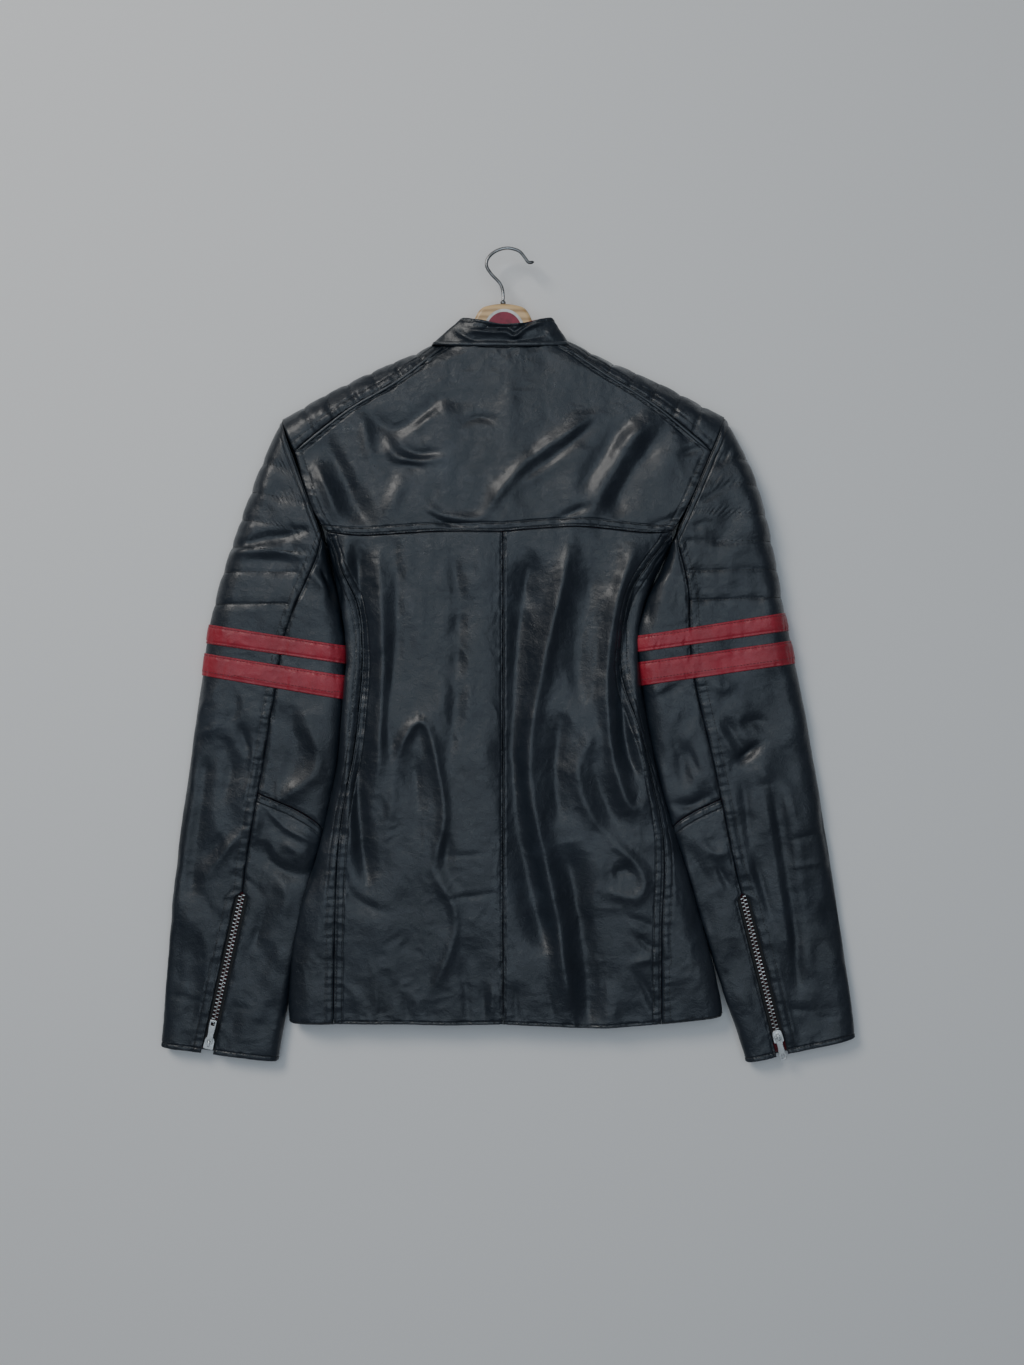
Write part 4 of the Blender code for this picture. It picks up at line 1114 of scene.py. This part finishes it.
def collar(angle, share, inset=0.0):
    """Points on the collar. angle is 0 at the centre back and 180 degrees in front, and
    share runs 0 to 1 from the neck seam to the top edge."""
    a = np.radians(angle)
    side, along = np.sin(a), np.cos(a)
    half = 71.0 - 23.5 * share - inset
    x = CENTRE_X - 2.5 + 6.5 * share + half * np.sign(side) * np.abs(side) ** 0.8
    level = 324 + 29 * share - 4.5 * share * groove(np.abs(angle), 90, 15)
    dip = 4.5 * share * groove(angle, 1, 26)
    back = level - (4 + 3 * share) * along - dip
    front = level + (level - (238.0 + 46 * share) - inset) * along
    y = np.where(along > 0, back, front)
    x = x - np.where(along > 0, 0.0, 7.0 * share * along * along)
    crown = np.where(along > 0, 42.2 - 1.2 * share, FRONT_LIFT)
    middle = 19 + 3 * share
    inward = np.where(along > 0, inset, -inset)
    z = middle + (crown - inward - middle) * np.sqrt(np.abs(along))
    return np.stack([x, y, z], -1)


def collar_sheet(angle, share, inset=0.0):
    """The collar's surface with its ends drawn in to the zip."""
    grid = collar(angle, share, inset)
    drawn = np.clip((np.abs(angle) - 150) / (COLLAR_STOP - 150), 0, 1) ** 3
    grid[..., 0] += (CENTRE_X + np.sign(angle) * ZIP_SLOT - grid[..., 0]) * drawn
    return grid


def make_collar():
    """The stand collar, its facing, the rolled lip at its seam and the hang loop."""
    share = spread(COLLAR_TALL, [0.0, COLLAR_TALL], near=9, coarse=1.0)[:, None]
    angle, share = np.broadcast_arrays(np.linspace(-COLLAR_STOP, COLLAR_STOP, 300)[None, :], share)
    base = collar_sheet(angle, share)
    out, flip = outward(base)
    x, y = base[..., 0], base[..., 1]
    rise = np.zeros(x.shape)
    for high, wide, points in COLLAR_FOLDS:
        gap, place = nearest(base, curve(points, 6))
        ends = ease(0, 0.16, np.minimum(place, 1 - place))
        rise += high * ends * fold_profile(gap, wide)
    rise = rise * ease(0.2, 0.8, out[..., 2])
    rise += 0.5 * noise(x / 12, y / 9, 1) + 0.3 * creases(x / 6, y / 5, 3)
    top_gap = (1 - share) * COLLAR_TALL
    rise -= 0.5 * groove(top_gap, COLLAR_ROW, 0.8) + 0.8 * turned_down(top_gap, 1.5)
    rise += 0.3 * noise(angle / 2.5, share * 2) * ease(8, 2, top_gap)
    grid = base + out * rise[..., None]
    sewn("collar_outer", grid, flip, BLACK, "black_leather", LEATHER)
    row = int(np.abs(top_gap[:, 0] - COLLAR_ROW).argmin())
    THREADS["black"].append((grid[row], out[row]))
    make_lining("collar_facing", collar_sheet(angle, share, LEATHER + 2.6))
    seam, up = grid[1, LIP_SPAN], out[1, LIP_SPAN]
    rolled("collar_lip", seam + up * 0.7, up, 1.5)
    make_loop(grid, out)


def rolled(name, middle, up, radius):
    """A narrow roll of leather that stands along a seam, thicker in some places."""
    x = middle[:, 0]
    swell = radius * (1 + 0.16 * noise(x / 7, 0.5) + 0.08 * noise(x / 2.2, 3))
    index = np.arange(len(middle))
    ends = np.sqrt(np.clip(np.minimum(index, index[::-1]) / 8, 0.02, 1))
    side = np.cross(unit(np.gradient(middle, axis=0)), up)
    points = tube_points(middle, side, up, swell * ends, 10, flat=1.4)
    # The roll uses the lighter copy of the black leather, whose lighter tone is painted highlight.
    obj = new_mesh(name, points.reshape(-1, 3), grid_faces(len(middle), 10, True), HIGHLIGHT_PAINTED_LEATHER)
    dress(obj, "black_leather")


def make_piping(side):
    """The piped edge of the yoke along a shoulder seam."""
    seam = at(curve(SIDE[side]["shoulder_back"]), np.linspace(0.02, 0.98, 150))
    ahead = unit(np.gradient(seam, axis=0))
    inward = np.stack([ahead[:, 1], -ahead[:, 0]], -1) * SIGN[side]
    middle = torso(seam + inward * 1.5, True)
    middle[:, 2] += 0.2 + 0.33 * noise(middle[:, 0] / 14, middle[:, 1] / 14)
    rolled(f"shoulder_piping_{side}", middle, np.tile(UP, (len(middle), 1)), 1.05)


def make_loop(grid, out):
    """The small strap sewn on the collar for hanging the jacket up."""
    rows = np.linspace(*(int(len(grid) * share) for share in (0.58, 0.82)), 12).astype(int)
    x, z = grid[rows[0], :, 0], grid[rows[0], :, 2]
    place = np.ix_(rows, np.flatnonzero((x > -27) & (x < -10) & (z > 35)))
    facing = out[place]
    strap = grid[place] + facing * 1.4
    near = np.min(list(borders(strap).values()), axis=0)
    strap = strap - facing * turned_down(near, 1.1)[..., None]
    obj = new_mesh("hang_loop", strap.reshape(-1, 3), grid_faces(*strap.shape[:2]), HIGHLIGHT_PAINTED_LEATHER)
    dress(thicken(obj, 1.0), "black_leather")
    middle = len(strap) // 2
    THREADS["black"].append((strap[middle], facing[middle]))


# ------------------------------------------------------------------ shaped hardware

TEETH_THICK = 2.6
TOOTH_PITCH = 4.0
PLATE_THICK = 1.1
PLATE_Z = TEETH_THICK / 2 + 0.3 + PLATE_THICK / 2
PULL_PIVOT = TEETH_THICK / 2 + 0.3 + PLATE_THICK + 1.25
SHIELD = [(-5.3, -6.4), (5.3, -6.4), (5.3, -2.5), (4.6, 5.0), (2.4, 6.5),
          (-2.4, 6.5), (-4.6, 5.0), (-5.3, -2.5)]
PULL_HALF = [(3.4, -0.75), (3.5, 4.5), (2.9, 9.0), (3.5, 17.0), (3.5, 25.0)]


def shifted(x, y, z):
    return Matrix.Translation((x * MM, y * MM, z * MM))


def turned(degrees, axis):
    return Matrix.Rotation(math.radians(degrees), 4, axis)


def rectangle(x, low, high):
    """The corners of a rectangle that is x to each side and runs from low to high."""
    return [(-x, low), (x, low), (x, high), (-x, high)]


def rounded_outline(points, radius, steps=4):
    """Rounds the corners of a closed outline."""
    p = [Vector(q) for q in points]
    found = []
    for k, corner in enumerate(p):
        before, after = p[k - 1] - corner, p[(k + 1) % len(p)] - corner
        r = min(radius, before.length * 0.45, after.length * 0.45)
        a, b = corner + before.normalized() * r, corner + after.normalized() * r
        for j in range(steps + 1):
            t = j / steps
            q = a.lerp(corner, t).lerp(corner.lerp(b, t), t)
            found.append((q.x, q.y))
    return found


def plate(name, outlines, thick, bevel, to_world, material, steps=3):
    """A flat plate with rounded edges from an outline and any holes, in millimetres."""
    flat = bpy.data.curves.new(name, "CURVE")
    flat.dimensions = "2D"
    flat.fill_mode = "BOTH"
    flat.extrude = thick / 2 - bevel
    flat.bevel_depth = bevel
    flat.bevel_resolution = steps
    flat.offset = -bevel
    for points in outlines:
        spline = flat.splines.new("POLY")
        spline.points.add(len(points) - 1)
        for target, (x, y) in zip(spline.points, points):
            target.co = (x, y, 0, 1)
        spline.use_cyclic_u = True
    holder = link(name + "_outline", flat)
    bpy.context.view_layer.update()
    mesh = bpy.data.meshes.new_from_object(
        holder.evaluated_get(bpy.context.evaluated_depsgraph_get()))
    bpy.data.objects.remove(holder)
    return finish_mesh(name, mesh, to_world, material, crease=38)


def joined(name, parts):
    """Several pieces as one."""
    bpy.ops.object.select_all(action="DESELECT")
    for part in parts:
        part.select_set(True)
    bpy.context.view_layer.objects.active = parts[0]
    bpy.ops.object.join()
    parts[0].name = look(name)
    return parts[0]


def make_teeth(name, sign, start, end, to_world):
    """One row of shaped metal teeth: each has a waisted body clamped on the tape's bead and
    a domed head that meshes with the other row."""
    # Stations out from the head's tip: place across, half width along, half height.
    profile = [(-1.0, 0.3, 0.5), (-0.6, 0.85, 1.2), (0.3, 0.95, 1.6), (0.9, 0.7, 1.65),
               (1.7, 0.9, 1.75), (2.9, 0.95, 1.7), (3.25, 0.7, 1.1)]
    turn = (np.arange(8) + 0.5) * math.pi / 4
    corners = np.stack([np.cos(turn), np.sin(turn)], -1) * 1.08
    corners = np.sign(corners) * np.minimum(np.abs(corners), 0.92)
    tooth = tube_faces(len(profile), len(corners), flip=sign < 0)
    points, faces = [], []
    y = start + (0 if sign > 0 else TOOTH_PITCH / 2)
    while y < end:
        faces += [[len(points) + k for k in face] for face in tooth]
        for across, half, high in profile:
            points += [(sign * across, y + half * cx, high * cz) for cx, cz in corners]
        y += TOOTH_PITCH
    dress(new_mesh(name, points, faces, METAL, to_world, crease=40), "zip_metal", name)


def make_tape(name, sign, start, end, to_world):
    """A woven tape with a thicker bead along the teeth."""
    u = np.array([2.6, 3.0, 3.5, 4.0, 4.6, 6, 8, 10, 13.0])[None, :]
    bead = np.array([0.9, 1.0, 0.85, 0.4, 0.1, 0.05, 0, 0, 0])[None, :]
    v = np.linspace(start, end, int((end - start) / 2.5))[:, None]
    level = bead * 0.75 + 0.25 + 0.12 * noise(u / 4, v / 9)
    grid = np.stack(np.broadcast_arrays(sign * u, v, level), -1)
    faces = grid_faces(*grid.shape[:2], False, sign < 0)
    obj = new_mesh(name, grid.reshape(-1, 3), faces, TAPE, to_world)
    dress(thicken(obj, 0.6), "zip_tape", name)


def make_slider(name, to_world):
    """A slider: two shield-shaped plates, the wedge between them and a loop on top."""
    shield = rounded_outline(SHIELD, 1.6)
    parts = [plate(f"{name}_plate_{k}", [shield], PLATE_THICK, 0.42,
                   to_world @ shifted(0, 0, z), METAL)
             for k, z in enumerate((PLATE_Z, -PLATE_Z))]
    rail = rounded_outline(rectangle(0.45, -6.2, 3.0), 0.3)
    for k, (x, z) in enumerate(itertools.product((-4.75, 4.75), (PLATE_Z - 0.85, 0.85 - PLATE_Z))):
        parts.append(plate(f"{name}_rail_{k}", [rail], PLATE_THICK, 0.25,
                           to_world @ shifted(x, 0, z), METAL))
    wall = rounded_outline(rectangle(0.5, -1.2, 1.2), 0.3)
    parts.append(plate(f"{name}_wedge", [wall], 3.6, 0.2, to_world @ shifted(0, 5.0, 0), METAL))
    top = PLATE_Z + 0.5
    arch = [(-3.5, top - 0.3), (-2.2, top - 0.3), (-2.2, top + 2.5), (2.2, top + 2.5),
            (2.2, top - 0.3), (3.5, top - 0.3), (3.5, top + 3.0), (2.6, top + 3.8),
            (-2.6, top + 3.8), (-3.5, top + 3.0)]
    parts.append(plate(f"{name}_loop", [rounded_outline(arch, 0.7)], 1.8, 0.4,
                       to_world @ turned(90, "Z") @ turned(90, "X"), METAL))
    dress(joined(name, parts), "zip_metal", name, body=name)


def make_pull(name, to_world, turn):
    """A pull tab with a waist, an eye round the slider's loop and a square window."""
    start, *sides = PULL_HALF
    body = [(-start[0], start[1]), start, *sides, *((-x, y) for x, y in sides[::-1])]
    outlines = [rounded_outline(body, 1.3), rounded_outline(rectangle(1.7, 0.75, 4.3), 0.5),
                rounded_outline(rectangle(1.9, 19.0, 23.2), 0.5)]
    place = to_world @ shifted(0, 0, PULL_PIVOT) @ turned(turn, "X")
    obj = plate(name, outlines, 1.4, 0.34, place, METAL)
    dress(obj, "zip_metal", name, body=name)


def zip_frame(origin, along, out):
    """A world matrix with +Y along a zip and +Z out of it."""
    y, z = Vector(along).normalized(), Vector(out).normalized()
    matrix = Matrix((y.cross(z), y, z)).transposed().to_4x4()
    matrix.translation = (Vector(origin) + Vector(SHIFT)) * MM
    return matrix


def make_zip(name, to_world, length, turn):
    """A zip of a given length, with its pull turned from straight down its chain."""
    for side, sign in SIGN.items():
        make_teeth(f"{name}_teeth_{side}", sign, -4.2, length - 1.5, to_world)
        make_tape(f"{name}_tape_{side}", sign, -5.0, length + 5, to_world)
    make_slider(f"{name}_slider", to_world)
    make_pull(f"{name}_pull", to_world, turn)


def make_zips():
    for side, turn in (("left", 2.0), ("right", 183.0)):
        top, foot = (Vector((*p, 0)) for p in SIDE[side]["zip"])
        to_world = zip_frame((foot.x, foot.y, CUFF_TOP - ZIP_SUNK), top - foot, UP)
        make_zip(f"cuff_zip_{side}", to_world, (top - foot).length, turn)
    to_world = zip_frame((CENTRE_X, 276, FRONT_LIFT + ZIP_SUNK), (0, -1, 0), (0, 0, -1))
    make_zip("front_zip", to_world, 642.0, 0.0)


# ------------------------------------------------------------------ hanger and hook

HANGER_ARM = [(28, 353), (34, 333), (68, 304), (98, 296), (147, 272), (192, 249), (200, 238),
              (197, 228), (188, 225), (140, 245), (95, 264), (50, 282), (20, 292)]
HANGER_CROWN = [(-22, 361.5), (-8, 365.0), (8, 365.0), (22, 361.5)]
HOOK_COLLAR_Y = 366.5
HOOK_RADIUS = 1.7
HOOK_BEND = [(0, 341), (0, 352), (0, 365), (0, 376), (-3, 386), (-12.5, 396.5), (-17, 405),
             (-14.5, 413.5), (-6, 420), (5, 422.5), (16, 419.5), (22, 413), (26, 408),
             (31.6, 408.4)]


def node_box(node):
    """The middle and half size of a node's box."""
    low, high = (Vector(v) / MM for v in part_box(node))
    return (low + high) / 2, (high - low) / 2


def make_hanger():
    """The wooden body, and its round sticker with a white border."""
    middle, _ = node_box("hanger_body")
    outline = [(CENTRE_X - x, y) for x, y in HANGER_ARM[::-1]]
    outline += [(CENTRE_X + x, y) for x, y in HANGER_CROWN + HANGER_ARM]
    body = plate("hanger_body", [rounded_outline(outline, 9.0, 5)], 9.8, 3.6,
                 shifted(SHIFT[0], SHIFT[1], middle.z), WOOD, 5)
    dress(body, "hanger_wood", "hanger_body")
    middle, half = node_box("hanger_label")
    angles = np.arange(72) / 72 * 2 * math.pi
    for name, share, material, lift, nodes in (
            ("hanger_label_border", 1.0, PAPER, 0.0, ()),
            ("hanger_label", 0.87, STICKER, 0.16, ("hanger_label",))):
        ring = [(half.x * share * math.cos(a), half.y * share * math.sin(a)) for a in angles]
        disc = plate(name, [ring], 0.34, 0.12, shifted(middle.x, middle.y, middle.z + lift),
                     material, 2)
        dress(disc, "label", *nodes)


def make_hook():
    """The hook's wire, with a rounded tip and the collar where it enters the wood."""
    middle = curve([(x, y, 0) for x, y in HOOK_BEND], 10)
    up = np.tile(UP, (len(middle), 1))
    side = np.cross(unit(np.gradient(middle, axis=0)), up)
    from_tip = np.arange(len(middle))[::-1]
    radius = HOOK_RADIUS * np.sqrt(np.clip((from_tip + 0.3) / 5, 0.05, 1))
    radius += 1.3 * ease(1.9, 0.9, np.abs(middle[:, 1] - HOOK_COLLAR_Y))
    points = tube_points(middle, side, up, radius, 20).reshape(-1, 3)
    obj = new_mesh("hanger_hook", points + (CENTRE_X, 0, HOOK_AT.z / MM),
                   tube_faces(len(middle), 20, flip=True), STEEL)
    dress(obj, "hook_steel", "hanger_hook", body="hanger_hook")


# ------------------------------------------------------------- camera, floor, lights

def area_light(name, place, target, size, power, colour):
    lamp = bpy.data.lights.new(name, "AREA")
    lamp.shape = "RECTANGLE"
    lamp.size, lamp.size_y = size
    lamp.energy = power
    lamp.color = colour
    obj = link(name, lamp)
    obj.location = place
    obj.rotation_euler = (Vector(target) - Vector(place)).to_track_quat("-Z", "Y").to_euler()


def make_floor():
    mesh = bpy.data.meshes.new("floor")
    corners = rectangle(FLOOR_HALF, -FLOOR_HALF, FLOOR_HALF)
    mesh.from_pydata([(x, y, FLOOR_Z) for x, y in corners], [], [(0, 1, 2, 3)])
    mesh.materials.append(Surface("pale_floor", (0.88, 0.87, 0.86), 0.75).material)
    floor = link("floor", mesh)


def make_camera():
    lens = bpy.data.cameras.new("camera")
    lens.lens = 38.4
    lens.sensor_width = 36
    lens.sensor_fit = "AUTO"
    camera = link("camera", lens)
    camera.location = (0.0036, -0.0269, 1.514)
    bpy.context.scene.camera = camera


def make_lights():
    """A dim cool room, a broad overhead light and a warmer key light."""
    world = bpy.data.worlds.new("room")
    world.use_nodes = True
    room = world.node_tree.nodes["Background"].inputs
    room["Color"].default_value = (0.82, 0.88, 1.0, 1)
    room["Strength"].default_value = 0.13
    bpy.context.scene.world = world
    area_light("overhead", (0.0, 0.1, 2.6), (0, 0.1, 0), (2.4, 2.2), 21, (0.74, 0.88, 1.0))
    area_light("key", (-1.5, 1.6, 2.2), (0, 0, 0), (1.1, 1.1), 34, (1.0, 0.97, 0.92))


make_torso()
for each in SIDE:
    make_arm(each)
    for band in STRIPES:
        make_stripe(each, band)
make_back_lining()
for each in SIDE:
    make_front_lining(each, *FRONT_LINING[each])
    make_sleeve_lining(each)
make_collar()
for each in SIDE:
    make_piping(each)
make_zips()
make_hanger()
make_hook()
make_threads("black", BLACK_THREAD, "black_leather")
make_threads("red", RED_THREAD, "red_leather")
make_floor()
make_camera()
make_lights()
